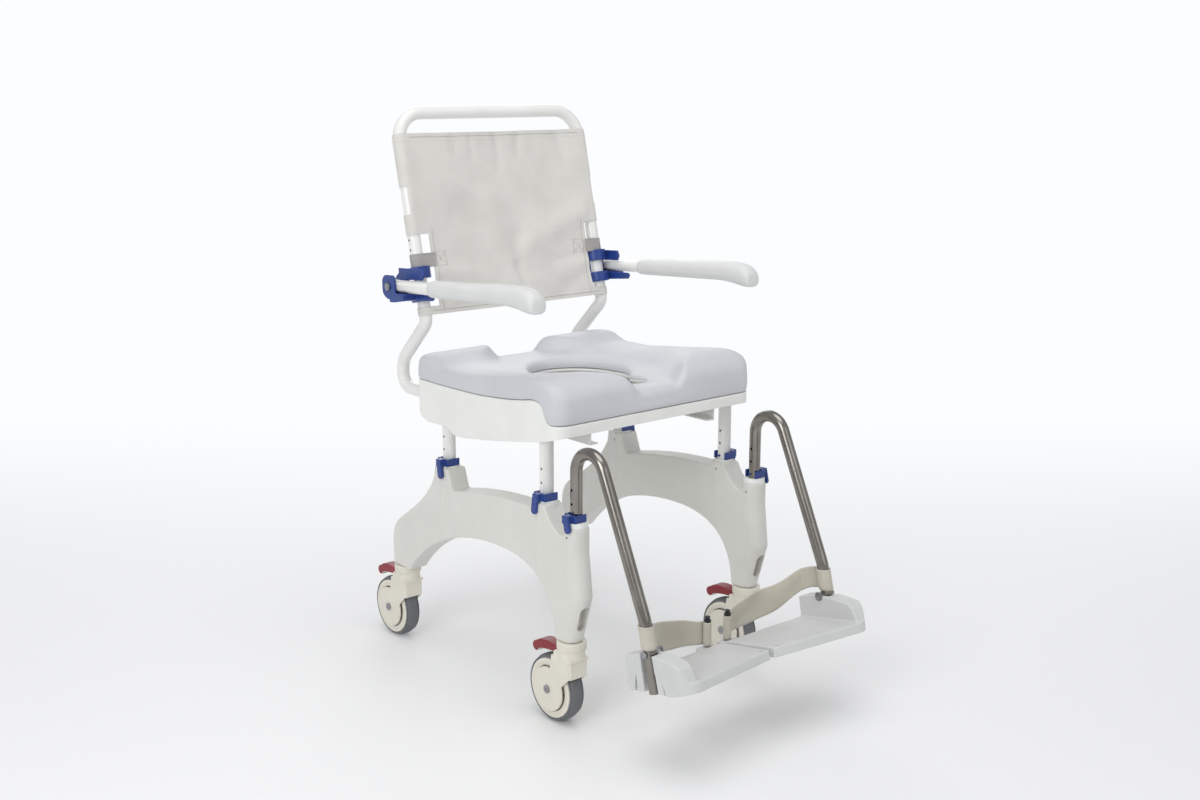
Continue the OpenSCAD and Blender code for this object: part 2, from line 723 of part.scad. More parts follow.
module seat_frame() {
    color(white_paint) difference() {
        union() {
            for (side = [RIGHT, LEFT]) on_side(side) {
                translate([side_x, rail_rear_y, rail_z]) rotate([90, 0, 0])
                    cylinder(d = rail_d, h = rail_rear_y - rail_front_y, $fn = fine);
                for (y = [front_post_y, rear_post_y])
                    translate([side_x, y, post_bottom_z])
                        cylinder(d = post_d, h = rail_z - post_bottom_z, $fn = fine);
            }
            for (s = cross_shares) rod(-side_x, side_x, seat_rear_y - seat_d * s, rail_z, cross_d);
        }
        for (s = cross_shares)
            rod(-side_x + rail_d / 2, side_x - rail_d / 2, seat_rear_y - seat_d * s, rail_z,
                cross_d - 2 * tube_wall);
        for (side = [RIGHT, LEFT]) on_side(side) {
            translate([side_x, rail_rear_y + overrun, rail_z]) rotate([90, 0, 0])
                cylinder(d = post_d + 2 * fit_gap, h = 2 * overrun + rail_rear_y - rail_front_y, $fn = fine);
            for (y = [front_post_y, rear_post_y]) {
                translate([side_x, y, post_bottom_z - overrun]) cylinder(
                    d = post_d - 2 * tube_wall, h = rail_z - rail_d / 2 - post_bottom_z, $fn = fine);
                for (k = [3 - hole_count : 2])
                    rod(side_x - post_d, side_x + post_d, y, clip_z + k * hole_pitch, pin_d);
            }
            translate([side_x, rail_rear_y - back_plug_l / 2, rail_z - rail_d])
                cylinder(d = pin_d, h = 2 * rail_d, $fn = fine);
        }
    }
}

// Pan rails: pressed channels that hang from the cross tubes
pan_half_w = 150;
pan_ledge = 16;
pan_rail_h = 24;
pan_rail_t = 2.5;
pan_front_clear = 12;
pan_rear_clear = 38;
pan_front_y = seat_front_y + shell_t + pan_front_clear;
pan_rear_y = seat_rear_y - shell_t - pan_rear_clear;

module pan_rails() {
    top = rail_z - cross_d / 2;
    color(white_paint) for (side = [RIGHT, LEFT]) on_side(side)
        translate([pan_half_w, pan_front_y, top]) rotate([-90, 0, 0])
            linear_extrude(pan_rear_y - pan_front_y)
                polygon([
                    [0, 0], [pan_ledge, 0], [pan_ledge, pan_rail_t], [pan_rail_t, pan_rail_t],
                    [pan_rail_t, pan_rail_h], [-pan_ledge, pan_rail_h],
                    [-pan_ledge, pan_rail_h - pan_rail_t], [0, pan_rail_h - pan_rail_t]
                ]);
}

// Backrest: the uprights pass the lean point at the cover's lower edge
lean_y = 71;
back_low_y = rear_post_y + lean_y;
function upright_y(z) = back_low_y + (z - cover_low_z) * tan(lean);
crank_back = 87;
crank_up = 52;
crank_r = 45;
elbow_r = 28;
neck_r = 24;
neck_drop = 13;
back_plug_l = 40;

module backrest_tube() {
    half = [
        [side_x, rail_rear_y - back_plug_l, rail_z],
        [side_x, back_low_y + crank_back, rail_z],
        [side_x, back_low_y + crank_back, rail_z + crank_up],
        [side_x, upright_y(cover_low_z - neck_drop), cover_low_z - neck_drop],
        [side_x, upright_y(push_bar_z), push_bar_z]
    ];
    path = concat(half, [for (i = [len(half) - 1 : -1 : 0]) [-half[i][0], half[i][1], half[i][2]]]);
    radii = [elbow_r, crank_r, neck_r, bar_bend_r, bar_bend_r, neck_r, crank_r, elbow_r];
    color(white_paint) difference() {
        bent_tube(path, radii, post_d, post_d - 2 * tube_wall);
        for (side = [RIGHT, LEFT]) on_side(side) {
            for (k = [0 : back_hole_count - 1]) {
                z = back_hole_z + k * back_hole_pitch;
                rod(side_x, side_x + post_d, upright_y(z), z, pin_d);
            }
            translate([side_x, rail_rear_y - back_plug_l / 2, rail_z - rail_d])
                cylinder(d = pin_d, h = 2 * rail_d, $fn = fine);
        }
    }
}
back_hole_count = 3;
back_hole_z = 796;
back_hole_pitch = 18.5;

// Bolts through the rails' rear ends and the backrest's plugs
module backrest_bolts() {
    color(steel_colour) for (side = [RIGHT, LEFT]) on_side(side)
        translate([side_x, rail_rear_y - back_plug_l / 2, rail_z - rail_d / 2 - axle_head_t]) {
            cylinder(d = pin_d, h = rail_d + axle_head_t, $fn = fine);
            cylinder(d = 2 * pin_d, h = axle_head_t, $fn = fine);
        }
}

// Cover: one sheet round the uprights, slack between them
cover_rings = 14;
sleeve_r = post_d / 2 + seat_gap;
sleeve_steps = 10;
span_steps = 12;
cover_sag = 16;

// Above the bend's start the sleeves follow the tube inward.
bend_share = (push_bar_z - bar_bend_r * cos(lean) - cover_low_z) / (cover_high_z - cover_low_z);
function past_bend(share) = max(0, share - bend_share) * (cover_high_z - cover_low_z) / cos(lean);

// Middle line of the sheet at a share of its height: x, and the distance behind the uprights
function cover_line(share) = let (
    bend_cos = sqrt(1 - pow(past_bend(share) / bar_bend_r, 2)),
    r = sleeve_r / bend_cos + cloth_t / 2,
    middle_x = side_x - bar_bend_r * (1 - bend_cos),
    wrap = [for (k = [0 : sleeve_steps]) let (a = sleeve_turn * (1 - k / sleeve_steps))
        [middle_x + r * sin(a), -r * cos(a)]],
    sag = cover_sag * (sag_shares[0] + sag_shares[1] * sin(180 * share)),
    span = [for (k = [1 : span_steps - 1]) let (u = k / span_steps)
        [middle_x * (1 - 2 * u), -r + sag * sin(180 * u) + fold_depth * sin(720 * u) * sin(540 * share)]])
    concat(wrap, span, [for (k = [sleeve_steps : -1 : 0]) [-wrap[k][0], wrap[k][1]]]);

// Both faces of a strip of constant thickness along a plan line
function strip(line, t) = let (
    n = len(line),
    normal = [for (i = [0 : n - 1])
        let (d = unit(line[min(i + 1, n - 1)] - line[max(i - 1, 0)])) [-d[1], d[0]]])
    concat([for (i = [0 : n - 1]) line[i] + normal[i] * t / 2],
        [for (i = [n - 1 : -1 : 0]) line[i] - normal[i] * t / 2]);

// Closed skin over a stack of rings, each of them a strip
module strip_solid(rings) {
    count = len(rings);
    around = len(rings[0]);
    half = around / 2;
    function cap(k, up) = [for (i = [0 : half - 2]) let (
        a = k * around + i, b = a + 1, c = k * around + around - 2 - i, e = c + 1)
        each up ? [[a, b, c], [a, c, e]] : [[a, c, b], [a, e, c]]];
    polyhedron(
        points = [for (r = rings) each r],
        faces = concat(
            [for (k = [0 : count - 2], i = [0 : around - 1]) let (
                j = (i + 1) % around,
                a = k * around + i, b = k * around + j, c = b + around, e = a + around)
                each [[a, c, b], [a, e, c]]],
            cap(0, true), cap(count - 1, false)),
        convexity = 10);
}

function cover_ring(share) = let (
    z = cover_low_z + (cover_high_z - cover_low_z) * share, y = upright_y(z))
    [for (p = strip(cover_line(share), cloth_t)) [p[0], y + p[1] * cos(lean), z - p[1] * sin(lean)]];

// A block round an upright between two heights, from a given distance off its centre line outward
module upright_block(from_x, z_low, z_high) {
    translate([0, upright_y(z_low), z_low]) rotate([-lean, 0, 0])
        translate([from_x, -post_d, 0]) cube([2 * post_d, 2 * post_d, (z_high - z_low) / cos(lean)]);
}

module backrest_cover() {
    color(cloth_colour) difference() {
        strip_solid(concat(
            [for (k = [0 : cover_rings - 1]) cover_ring(bend_share * k / (cover_rings - 1))],
            [cover_ring((1 + bend_share) / 2), cover_ring(1)]
        ));
        for (side = [RIGHT, LEFT]) on_side(side) {
            upright_block(side_x - window_in, window_low_z, strap_low_z);
            upright_block(side_x - window_in, strap_low_z + strap_h, window_high_z);
            upright_block(side_x + post_d / 4, step_low_z, step_high_z);
        }
    }
}
sleeve_turn = 235;
sag_shares = [0.35, 0.65];
fold_depth = 2.5;
window_in = 28;
window_low_z = 706;
strap_low_z = 786;
strap_h = 16;
window_high_z = 842;
step_low_z = 880;
step_high_z = 933;

// Arm bracket: two collars on the upright, a cheek on each side of the arm tube, and a stop below it
arm_pivot_y = rear_post_y + 114;
arm_rise = 3.15;
pivot_d = 8;
bracket_wall = 9.5;
cheek_gap = 0.4;
cheek_t = 5;
cheek_in = arm_x - arm_d / 2 - cheek_gap;
cheek_out = arm_x + arm_d / 2 + cheek_gap;
stop_low = 30;
stop_l = 104;
stop_root = 16;
bracket_back = 22;
jaw_h = 22;
jaw_z = arm_pivot_z + 13;
jaw_l = 72;

module leaning_collar(z_low, z_high) {
    translate([side_x, upright_y(z_low), z_low]) rotate([-lean, 0, 0])
        cylinder(d = post_d + 2 * bracket_wall, h = (z_high - z_low) / cos(lean), $fn = fine);
}

// At the arm's own angle, with the pivot as origin and the arm pointing to -Y
module at_arm(side) {
    on_side(side) translate([0, arm_pivot_y, arm_pivot_z]) rotate([-arm_rise, 0, 0]) children();
}

module arm_bracket(side) {
    under = -arm_d / 2 - seat_gap;
    color(clip_colour) {
        difference() {
            union() {
                on_side(side) {
                    leaning_collar(arm_pivot_z - stop_low, arm_pivot_z - stop_low / 3);
                    leaning_collar(jaw_z, jaw_z + jaw_h);
                }
                at_arm(side) {
                    // Inner cheek with the jaw's nose and the prong
                    across(cheek_in - cheek_t, cheek_in) polygon([
                        [bracket_back, -stop_low + cheek_t], [bracket_back, jaw_h],
                        [stop_root / 2, jaw_h + jaw_h / 2],
                        [-jaw_l, jaw_h + jaw_h / 2], [-jaw_l - cheek_t, jaw_h], [-jaw_l, arm_d / 2],
                        [-stop_root - cheek_t, arm_d / 2], [-stop_root - cheek_t, under],
                        [-stop_l, under], [-stop_l - cheek_t, under - cheek_t],
                        [-stop_l, -stop_low + cheek_t],
                        [-stop_root, -stop_low], [stop_root, -stop_low]
                    ]);
                    // Outer cheek
                    across(cheek_out, cheek_out + cheek_t) polygon([
                        [bracket_back, -stop_low + cheek_t], [bracket_back, stop_root],
                        [stop_root, bracket_back],
                        [-stop_root, bracket_back], [-bracket_back, stop_root], [-bracket_back, under],
                        [-stop_l / 2, under], [-stop_l / 2, -stop_low + cheek_t],
                        [-stop_root, -stop_low], [stop_root, -stop_low]
                    ]);
                    // Stop below the tube, and the wall behind it
                    across(cheek_in - cheek_t, cheek_out + cheek_t) polygon([
                        [-bracket_back, under], [-stop_l / 2, under], [-stop_l / 2, -stop_low + cheek_t],
                        [-stop_root, -stop_low], [stop_root, -stop_low], [bracket_back, -stop_low + cheek_t],
                        [bracket_back, under + cheek_t], [bracket_back - cheek_t / 2, under + cheek_t],
                        [bracket_back - cheek_t, under - cheek_t - seat_gap],
                        [-stop_root, under - cheek_t - seat_gap]
                    ]);
                }
            }
            on_side(side) translate([side_x, upright_y(arm_pivot_z), arm_pivot_z]) rotate([-lean, 0, 0])
                translate([0, 0, -stop_l / 2]) cylinder(d = post_d + 2 * fit_gap, h = stop_l, $fn = fine);
            at_arm(side) rod(side_x, cheek_out + 2 * cheek_t, 0, 0, pivot_d);
        }
    }
}

module arm_pivot(side) {
    head_t = axle_head_t;
    color(steel_colour) at_arm(side) {
        rod(cheek_in - cheek_t, cheek_out + cheek_t, 0, 0, pivot_d);
        rod(cheek_out + cheek_t, cheek_out + cheek_t + head_t, 0, 0, 2 * pivot_d);
    }
}

arm_tube_tail = 12;
arm_tube_inset = 50;
module arm_tube(side) {
    color(white_paint) at_arm(side) difference() {
        union() {
            difference() {
                translate([arm_x, arm_tube_tail, 0]) rotate([90, 0, 0])
                    cylinder(d = arm_d, h = arm_tube_tail + arm_len - arm_tube_inset, $fn = fine);
                translate([arm_x, arm_tube_tail + overrun, 0]) rotate([90, 0, 0])
                    cylinder(d = arm_d - 2 * tube_wall, h = 2 * arm_len, $fn = fine);
            }
            rod(arm_x - arm_d / 2 + tube_wall / 2, arm_x + arm_d / 2 - tube_wall / 2, 0, 0, 2 * pivot_d);
        }
        rod(arm_x - arm_d, arm_x + arm_d, 0, 0, pivot_d + 2 * fit_gap);
    }
}

// Arm pad: stations along its length, then top, bottom and half width as shares of its width
arm_pad_shares = [
    [0, 0.37, -0.35, 0.4], [0.03, 0.4, -0.38, 0.46], [0.4, 0.44, -0.38, 0.5], [0.72, 0.52, -0.38, 0.5],
    [0.84, 0.52, -0.46, 0.5], [0.91, 0.42, -0.56, 0.49], [0.96, 0.25, -0.62, 0.46],
    [0.99, 0.02, -0.62, 0.4], [1, -0.18, -0.56, 0.3]
];
arm_pad_around = 20;
pad_squareness = 2.6;

function arm_pad_ring(s) = let (
    y = arm_pad_l - arm_len - arm_pad_l * s[0],
    mid = arm_pad_w * (s[1] + s[2]) / 2,
    half_h = arm_pad_w * (s[1] - s[2]) / 2)
    [for (i = [0 : arm_pad_around - 1]) let (
        a = 360 * i / arm_pad_around,
        r = pow(pow(abs(cos(a)), pad_squareness) + pow(abs(sin(a)), pad_squareness), -1 / pad_squareness))
        [arm_x + arm_pad_w * s[3] * r * cos(a), y, mid + half_h * r * sin(a)]];

// Closed skin over rings with a flat cap at each end
module capped_solid(rings) {
    count = len(rings);
    around = len(rings[0]);
    polyhedron(
        points = [for (r = rings) each r],
        faces = concat(
            [for (k = [0 : count - 2], i = [0 : around - 1]) let (
                j = (i + 1) % around,
                a = k * around + i, b = k * around + j, c = b + around, e = a + around)
                each [[a, b, c], [a, c, e]]],
            [for (i = [1 : around - 2]) [0, i + 1, i]],
            [for (i = [1 : around - 2]) let (o = (count - 1) * around) [o, o + i, o + i + 1]]),
        convexity = 4);
}

module arm_pad(side) {
    color(pad_colour) at_arm(side) difference() {
        capped_solid([for (s = arm_pad_shares) arm_pad_ring(s)]);
        translate([arm_x, overrun + arm_pad_l - arm_len, 0]) rotate([90, 0, 0])
            cylinder(d = arm_d + 2 * fit_gap, h = overrun + arm_pad_l - arm_tube_inset + seat_gap,
                $fn = fine);
    }
}

// Clips: a pin through the tube, a band round it, and a comma-shaped lever outside the socket
clip_pin_past = 3;
clip_web_t = 4;
lever_t = 5.5;
lever_gap = 1.1;

module clip(side, y, z, d, lever_shift, lever_l) {
    band_in = d / 2 + seat_gap;
    web_x = side_x + band_in + side_gap;
    lever_x = frame_out_x + lever_gap;
    color(clip_colour) on_side(side) {
        rod(side_x - d / 2 - clip_pin_past, web_x + clip_web_t, y, z, pin_d - 2 * fit_gap);
        for (s = [-1, 1])
            translate([side_x - d / 2, y + s * (band_in + clip_t / 2) - clip_t / 2, z - band_h / 2])
                cube([web_x - side_x + d / 2 + clip_web_t, clip_t, band_h]);
        translate([web_x, y - band_in - clip_t, z - band_h / 2])
            cube([clip_web_t, 2 * (band_in + clip_t), band_h]);
        across(web_x, lever_x + lever_t) polygon([
            [y - band_h / 2, z - band_h / 2], [y + band_h / 2, z - band_h / 2],
            [y + band_h / 2, z + band_h / 2], [y - band_h / 2, z + band_h / 2]
        ]);
        across(lever_x, lever_x + lever_t) {
            translate([y + lever_shift, z - lever_l]) circle(r = band_h / 2, $fn = fine);
            polygon([
                [y - band_h / 2, z + band_h / 2], [y + band_h / 2, z + band_h / 2],
                [y + lever_shift + band_h / 2, z - lever_l], [y + lever_shift - band_h / 2, z - lever_l]
            ]);
        }
    }
}
post_lever_shift = 5;
post_lever_l = 24;
hanger_lever_shift = -6;
hanger_lever_l = 17;

module post_clip(side, y) {
    clip(side, y, clip_z, post_d, y == rear_post_y ? -post_lever_shift : post_lever_shift, post_lever_l);
}

module footrest_clip(side) {
    clip(side, hanger_y, hanger_clip_z, hanger_d, hanger_lever_shift, hanger_lever_l);
}

// Footrest bush
module footrest_bush(side) {
    bush_low_z = receiver_floor_z + shell_t + seat_gap;
    color(white_plastic) on_side(side) translate([side_x, hanger_y, 0]) difference() {
        union() {
            translate([0, 0, bush_low_z])
                cylinder(d = hanger_bush_d, h = receiver_z - bush_low_z + fit_gap, $fn = fine);
            translate([0, 0, receiver_z + fit_gap])
                cylinder(d = hanger_collar_d, h = hanger_collar_h, $fn = fine);
        }
        translate([0, 0, receiver_floor_z])
            cylinder(d = hanger_d + 2 * fit_gap, h = 2 * receiver_depth, $fn = fine);
    }
}

// Footrest tube: its slope runs from the hook to the knee as their common tangent
foot_pivot_y = hanger_y - foot_reach;
shin_lean = 13.7;
knee_up = 55;
foot_down = 65;
knee_r = 80;
hanger_bottom_clear = 16;
hanger_hole_count = 4;

module footrest_tube(side) {
    knee = [side_x, foot_pivot_y + knee_up * tan(shin_lean), foot_pivot_z + knee_up];
    to_hook = [hanger_y - hook_r - knee[1], hook_z - hook_r - knee[2]];
    slope = atan2(to_hook[0], to_hook[1]) - asin(hook_r / norm(to_hook));
    path = [
        [side_x, hanger_y, receiver_floor_z + hanger_bottom_clear],
        [side_x, hanger_y, knee[2] + (hanger_y - knee[1]) / tan(slope)],
        knee,
        [side_x, foot_pivot_y - foot_down * tan(shin_lean), foot_pivot_z - foot_down]
    ];
    color(steel_colour) on_side(side) difference() {
        bent_tube(path, [hook_r, knee_r], hanger_d, hanger_d - 2 * tube_wall);
        for (k = [3 - hanger_hole_count : 2])
            rod(side_x - hanger_d, side_x + hanger_d, hanger_y, hanger_clip_z + k * hole_pitch, pin_d);
        rod(side_x - hanger_d, side_x + hanger_d, foot_pivot_y, foot_pivot_z, pivot_d);
    }
}

// Footplate: drawn level with its pivot as origin, then tilted toes up
plate_in_x = 6;
plate_out_x = 231;
plate_top = -41.5;
block_wall = 9;
groove_gap = 1.5;
block_in_x = side_x - hanger_d / 2 - groove_gap - block_wall;
plate_rear_y = 56;
plate_shell = 4;
plate_slant = 30;
plate_rear_slant = 2;
plate_corner = 14;
plate_corner_r = 32;
plate_corner_steps = 8;
block_top = 2;
block_drop = 6;
groove_half = 13.5;
groove_spread = 2.6;
fan_shares = [0.32, 0.72];
fan_depth = 3;
fan_top = 14;
tab_in_x = 9;
tab_l = 34;
tab_w = 34;
tab_t = 9;

module at_footplate(side) {
    on_side(side) translate([0, foot_pivot_y, foot_pivot_z]) rotate([-foot_tilt, 0, 0]) children();
}

module plate_outline(inset) {
    toe = plate_rear_y - plate_l + plate_corner;
    r = plate_corner_r - inset;
    centre = [plate_out_x - plate_corner_r, toe - plate_slant + plate_corner_r];
    slant = atan(plate_slant / (centre[0] - plate_in_x));
    polygon(concat(
        [[plate_in_x + inset, plate_rear_y - inset],
            [block_in_x, plate_rear_y - plate_rear_slant - inset],
            [plate_out_x - inset, plate_rear_y - plate_rear_slant - inset]],
        [for (i = [0 : plate_corner_steps]) let (a = -(90 + slant) * i / plate_corner_steps)
            centre + r * [cos(a), sin(a)]],
        [[plate_in_x + inset, toe + inset]]
    ));
}

module footplate(side) {
    low = plate_top - plate_t;
    block_low = low - block_drop;
    toe = plate_rear_y - plate_l - plate_slant + plate_corner;
    groove_x = block_in_x + block_wall;
    spread = (hanger_d - block_low) * tan(groove_spread);
    color(white_plastic) difference() {
        at_footplate(side) difference() {
            union() {
                difference() {
                    translate([0, 0, low]) linear_extrude(plate_t) plate_outline(0);
                    translate([0, 0, low - overrun]) linear_extrude(plate_t - plate_shell + overrun)
                        difference() {
                            plate_outline(plate_shell);
                            translate([block_in_x, -plate_l]) square([plate_out_x, 2 * plate_l]);
                        }
                }
                intersection() {
                    across(block_in_x, plate_out_x + overrun) polygon([
                        [plate_rear_y - plate_rear_slant - seat_gap, block_low],
                        [plate_rear_y - 2 * plate_rear_slant, -plate_shell],
                        [groove_half, block_top], [-plate_l / 4, block_top - plate_shell],
                        [-plate_l / 2, -plate_t / 2], [toe + plate_slant / 2, -plate_t],
                        [toe + plate_corner / 2, plate_top], [toe + plate_corner / 2, low],
                        [toe + 3 * plate_corner, block_low]
                    ]);
                    translate([0, 0, block_low]) linear_extrude(3 * plate_l) plate_outline(0);
                }
                translate([tab_in_x, plate_rear_y - plate_shell, plate_top - plate_shell - tab_t])
                    cube([tab_w, tab_l, tab_t]);
            }
            across(groove_x, plate_out_x + overrun) polygon([
                [-groove_half, hanger_d], [groove_half, hanger_d],
                [groove_half + spread, block_low - overrun],
                [-groove_half - spread, block_low - overrun]
            ]);
            // Fan recess round the tube, deepest at its lower end
            intersection() {
                across(side_x, plate_out_x + overrun) polygon([
                    [-plate_rear_y * fan_shares[0], fan_top], [plate_rear_y * fan_shares[0], fan_top],
                    [plate_rear_y * fan_shares[1], block_low - overrun],
                    [-plate_rear_y * fan_shares[1], block_low - overrun]
                ]);
                translate([0, plate_l, 0]) rotate([90, 0, 0]) linear_extrude(2 * plate_l) polygon([
                    [plate_out_x, block_top], [plate_out_x - fan_depth, block_low - overrun],
                    [plate_out_x + fan_depth, block_low - overrun], [plate_out_x + fan_depth, block_top]
                ]);
            }
            rod(block_in_x - overrun, groove_x + overrun, 0, 0, pivot_d + 2 * fit_gap);
            // Hole and slot in the inner wall, and drain holes at the front
            rod(block_in_x - overrun, groove_x + overrun, plate_rear_y / 2, plate_top - plate_shell / 2,
                pivot_d);
            for (k = [1, 2])
                translate([k * plate_slant, plate_rear_y - plate_l + 2 * plate_corner, low - overrun])
                    cylinder(d = pin_d, h = 2 * plate_t, $fn = fine);
        }
        on_side(side) translate([heel_x, heel_y, heel_low_z - overrun])
            cylinder(d = heel_d - plate_shell, h = plate_t, $fn = fine);
    }
}

module footplate_bolt(side) {
    head_t = axle_head_t;
    color(steel_colour) at_footplate(side) {
        rod(block_in_x - seat_gap, side_x + hanger_d / 2 + head_t, 0, 0, pivot_d);
        rod(block_in_x - seat_gap - head_t, block_in_x - seat_gap, 0, 0, 2 * pivot_d);
        rod(side_x + hanger_d / 2 + fit_gap, side_x + hanger_d / 2 + head_t, 0, 0, 1.5 * pivot_d);
    }
}

// Heel post on the plate's rear tab
heel_x = 25;
heel_back = 64;
heel_d = 10;
heel_knob_d = 13;
heel_knob_h = 9;
heel_neck_d = 6.5;
heel_cap_d = 9.5;
heel_h = 70;
heel_collar_up = 14.2;
heel_y = foot_pivot_y + heel_back;
heel_low_z = 133;

module heel_post(side) {
    color(dark_colour) on_side(side) translate([heel_x, heel_y, heel_low_z]) {
        cylinder(d = heel_d - plate_shell, h = plate_t, $fn = fine);
        translate([0, 0, heel_collar_up])
            cylinder(d = heel_d, h = heel_h - heel_knob_h - heel_collar_up + overrun, $fn = fine);
        // Knob: a flange, a neck and a cap
        translate([0, 0, heel_h - heel_knob_h]) cylinder(d = heel_knob_d, h = heel_knob_h / 3, $fn = fine);
        translate([0, 0, heel_h - heel_knob_h]) cylinder(d = heel_neck_d, h = heel_knob_h, $fn = fine);
        translate([0, 0, heel_h - heel_knob_h / 3])
            cylinder(d = heel_cap_d, h = heel_knob_h / 3, $fn = fine);
    }
}

// Heel strap: a loop on the tube, a slack band, and a sleeve on the post
strap_rings = 5;
strap_w = 38;
strap_post_w = 44;
strap_at_tube_z = 233;
strap_at_post_z = 170.5;
strap_swell_share = 0.37;
strap_lift = 10;
strap_fall_share = 0.1;
strap_fall_power = 5;
strap_steps = 14;
strap_slack = 34;
loop_steps = 12;
loop_turn = 320;

// The band's middle line: it falls soon after it has passed the plate's block
function strap_middle_z(u) = let (fallen = max(0, u - strap_fall_share) / (1 - strap_fall_share))
    strap_at_post_z + strap_lift * sin(180 * u)
    + (strap_at_tube_z - strap_at_post_z) * pow(1 - fallen, strap_fall_power);

// Loop on the tube, from its free end round to where the band leaves
function strap_ring(share) = let (
    tube_up = strap_w * (share - 0.5),
    post_up = strap_post_w * (share - 0.5),
    tube_z = strap_at_tube_z + tube_up,
    tube_r = hanger_d / 2 + seat_gap + cloth_t,
    post_r = heel_d / 2 + seat_gap + cloth_t,
    tube = [side_x, foot_pivot_y + (tube_z - foot_pivot_z) * tan(shin_lean)],
    post = [heel_x, heel_y],
    on_tube = [for (k = [0 : loop_steps]) let (a = -50 - loop_turn + loop_turn * k / loop_steps)
        [tube[0] - tube_r * cos(a + 140), tube[1] + tube_r * sin(a + 140)]],
    on_post = [for (k = [0 : loop_steps]) let (a = 90 + loop_turn * k / loop_steps)
        [post[0] + post_r * cos(a), post[1] + post_r * sin(a)]],
    from = on_tube[loop_steps],
    to = on_post[0],
    band = [for (k = [1 : strap_steps - 1]) let (u = k / strap_steps)
        from + (to - from) * u + [0, strap_slack * sin(180 * u)]],
    line = concat(on_tube, band, on_post),
    flat = strip(line, cloth_t))
    [for (p = flat) let (u = min(1, max(0, (side_x - p[0] - tube_r) / (side_x - heel_x - 2 * tube_r))))
        [p[0], p[1], strap_middle_z(u) + (tube_up + (post_up - tube_up) * u)
            * (1 + strap_swell_share * sin(180 * u))]];

module heel_strap(side) {
    color(cloth_colour) on_side(side)
        strip_solid([for (k = [0 : strap_rings - 1]) strap_ring(k / (strap_rings - 1))]);
}

side_frame(RIGHT);  // side_frame_right
side_frame(LEFT);  // side_frame_left
castor_stems();
post_bushes();
frame_plugs();
castor_housing(RIGHT, front_swivel_y);  // castor_housing_front_right
castor_housing(LEFT, front_swivel_y);  // castor_housing_front_left
castor_housing(RIGHT, rear_swivel_y);  // castor_housing_rear_right
castor_housing(LEFT, rear_swivel_y);  // castor_housing_rear_left
castor_axle(RIGHT, front_swivel_y);  // castor_axle_front_right
castor_axle(LEFT, front_swivel_y);  // castor_axle_front_left
castor_axle(RIGHT, rear_swivel_y);  // castor_axle_rear_right
castor_axle(LEFT, rear_swivel_y);  // castor_axle_rear_left
castor_tyre(RIGHT, front_swivel_y);  // castor_tyre_front_right
castor_tyre(LEFT, front_swivel_y);  // castor_tyre_front_left
castor_tyre(RIGHT, rear_swivel_y);  // castor_tyre_rear_right
castor_tyre(LEFT, rear_swivel_y);  // castor_tyre_rear_left
castor_hub(RIGHT, front_swivel_y);  // castor_hub_front_right
castor_hub(LEFT, front_swivel_y);  // castor_hub_front_left
castor_hub(RIGHT, rear_swivel_y);  // castor_hub_rear_right
castor_hub(LEFT, rear_swivel_y);  // castor_hub_rear_left
castor_pedal(RIGHT, front_swivel_y);  // castor_pedal_front_right
castor_pedal(LEFT, front_swivel_y);  // castor_pedal_front_left
castor_pedal(RIGHT, rear_swivel_y);  // castor_pedal_rear_right
castor_pedal(LEFT, rear_swivel_y);  // castor_pedal_rear_left
seat_base();
seat_pad();
seat_frame();
pan_rails();
backrest_tube();
backrest_cover();
backrest_bolts();
arm_bracket(RIGHT);  // arm_bracket_right
arm_bracket(LEFT);  // arm_bracket_left
arm_pivot(RIGHT);  // arm_pivot_right
arm_pivot(LEFT);  // arm_pivot_left
arm_tube(RIGHT);  // arm_tube_right
arm_tube(LEFT);  // arm_tube_left
arm_pad(RIGHT);  // arm_pad_right
arm_pad(LEFT);  // arm_pad_left
post_clip(RIGHT, front_post_y);  // post_clip_front_right
post_clip(LEFT, front_post_y);  // post_clip_front_left
post_clip(RIGHT, rear_post_y);  // post_clip_rear_right
post_clip(LEFT, rear_post_y);  // post_clip_rear_left
footrest_clip(RIGHT);  // footrest_clip_right
footrest_clip(LEFT);  // footrest_clip_left
footrest_bush(RIGHT);  // footrest_bush_right
footrest_bush(LEFT);  // footrest_bush_left
footrest_tube(RIGHT);  // footrest_tube_right
footrest_tube(LEFT);  // footrest_tube_left
footplate(RIGHT);  // footplate_right
footplate(LEFT);  // footplate_left
footplate_bolt(RIGHT);  // footplate_bolt_right
footplate_bolt(LEFT);  // footplate_bolt_left
heel_post(RIGHT);  // heel_post_right
heel_post(LEFT);  // heel_post_left
heel_strap(RIGHT);  // heel_strap_right
heel_strap(LEFT);  // heel_strap_left
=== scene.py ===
import bmesh
import bpy
import math
from mathutils import Matrix, Vector


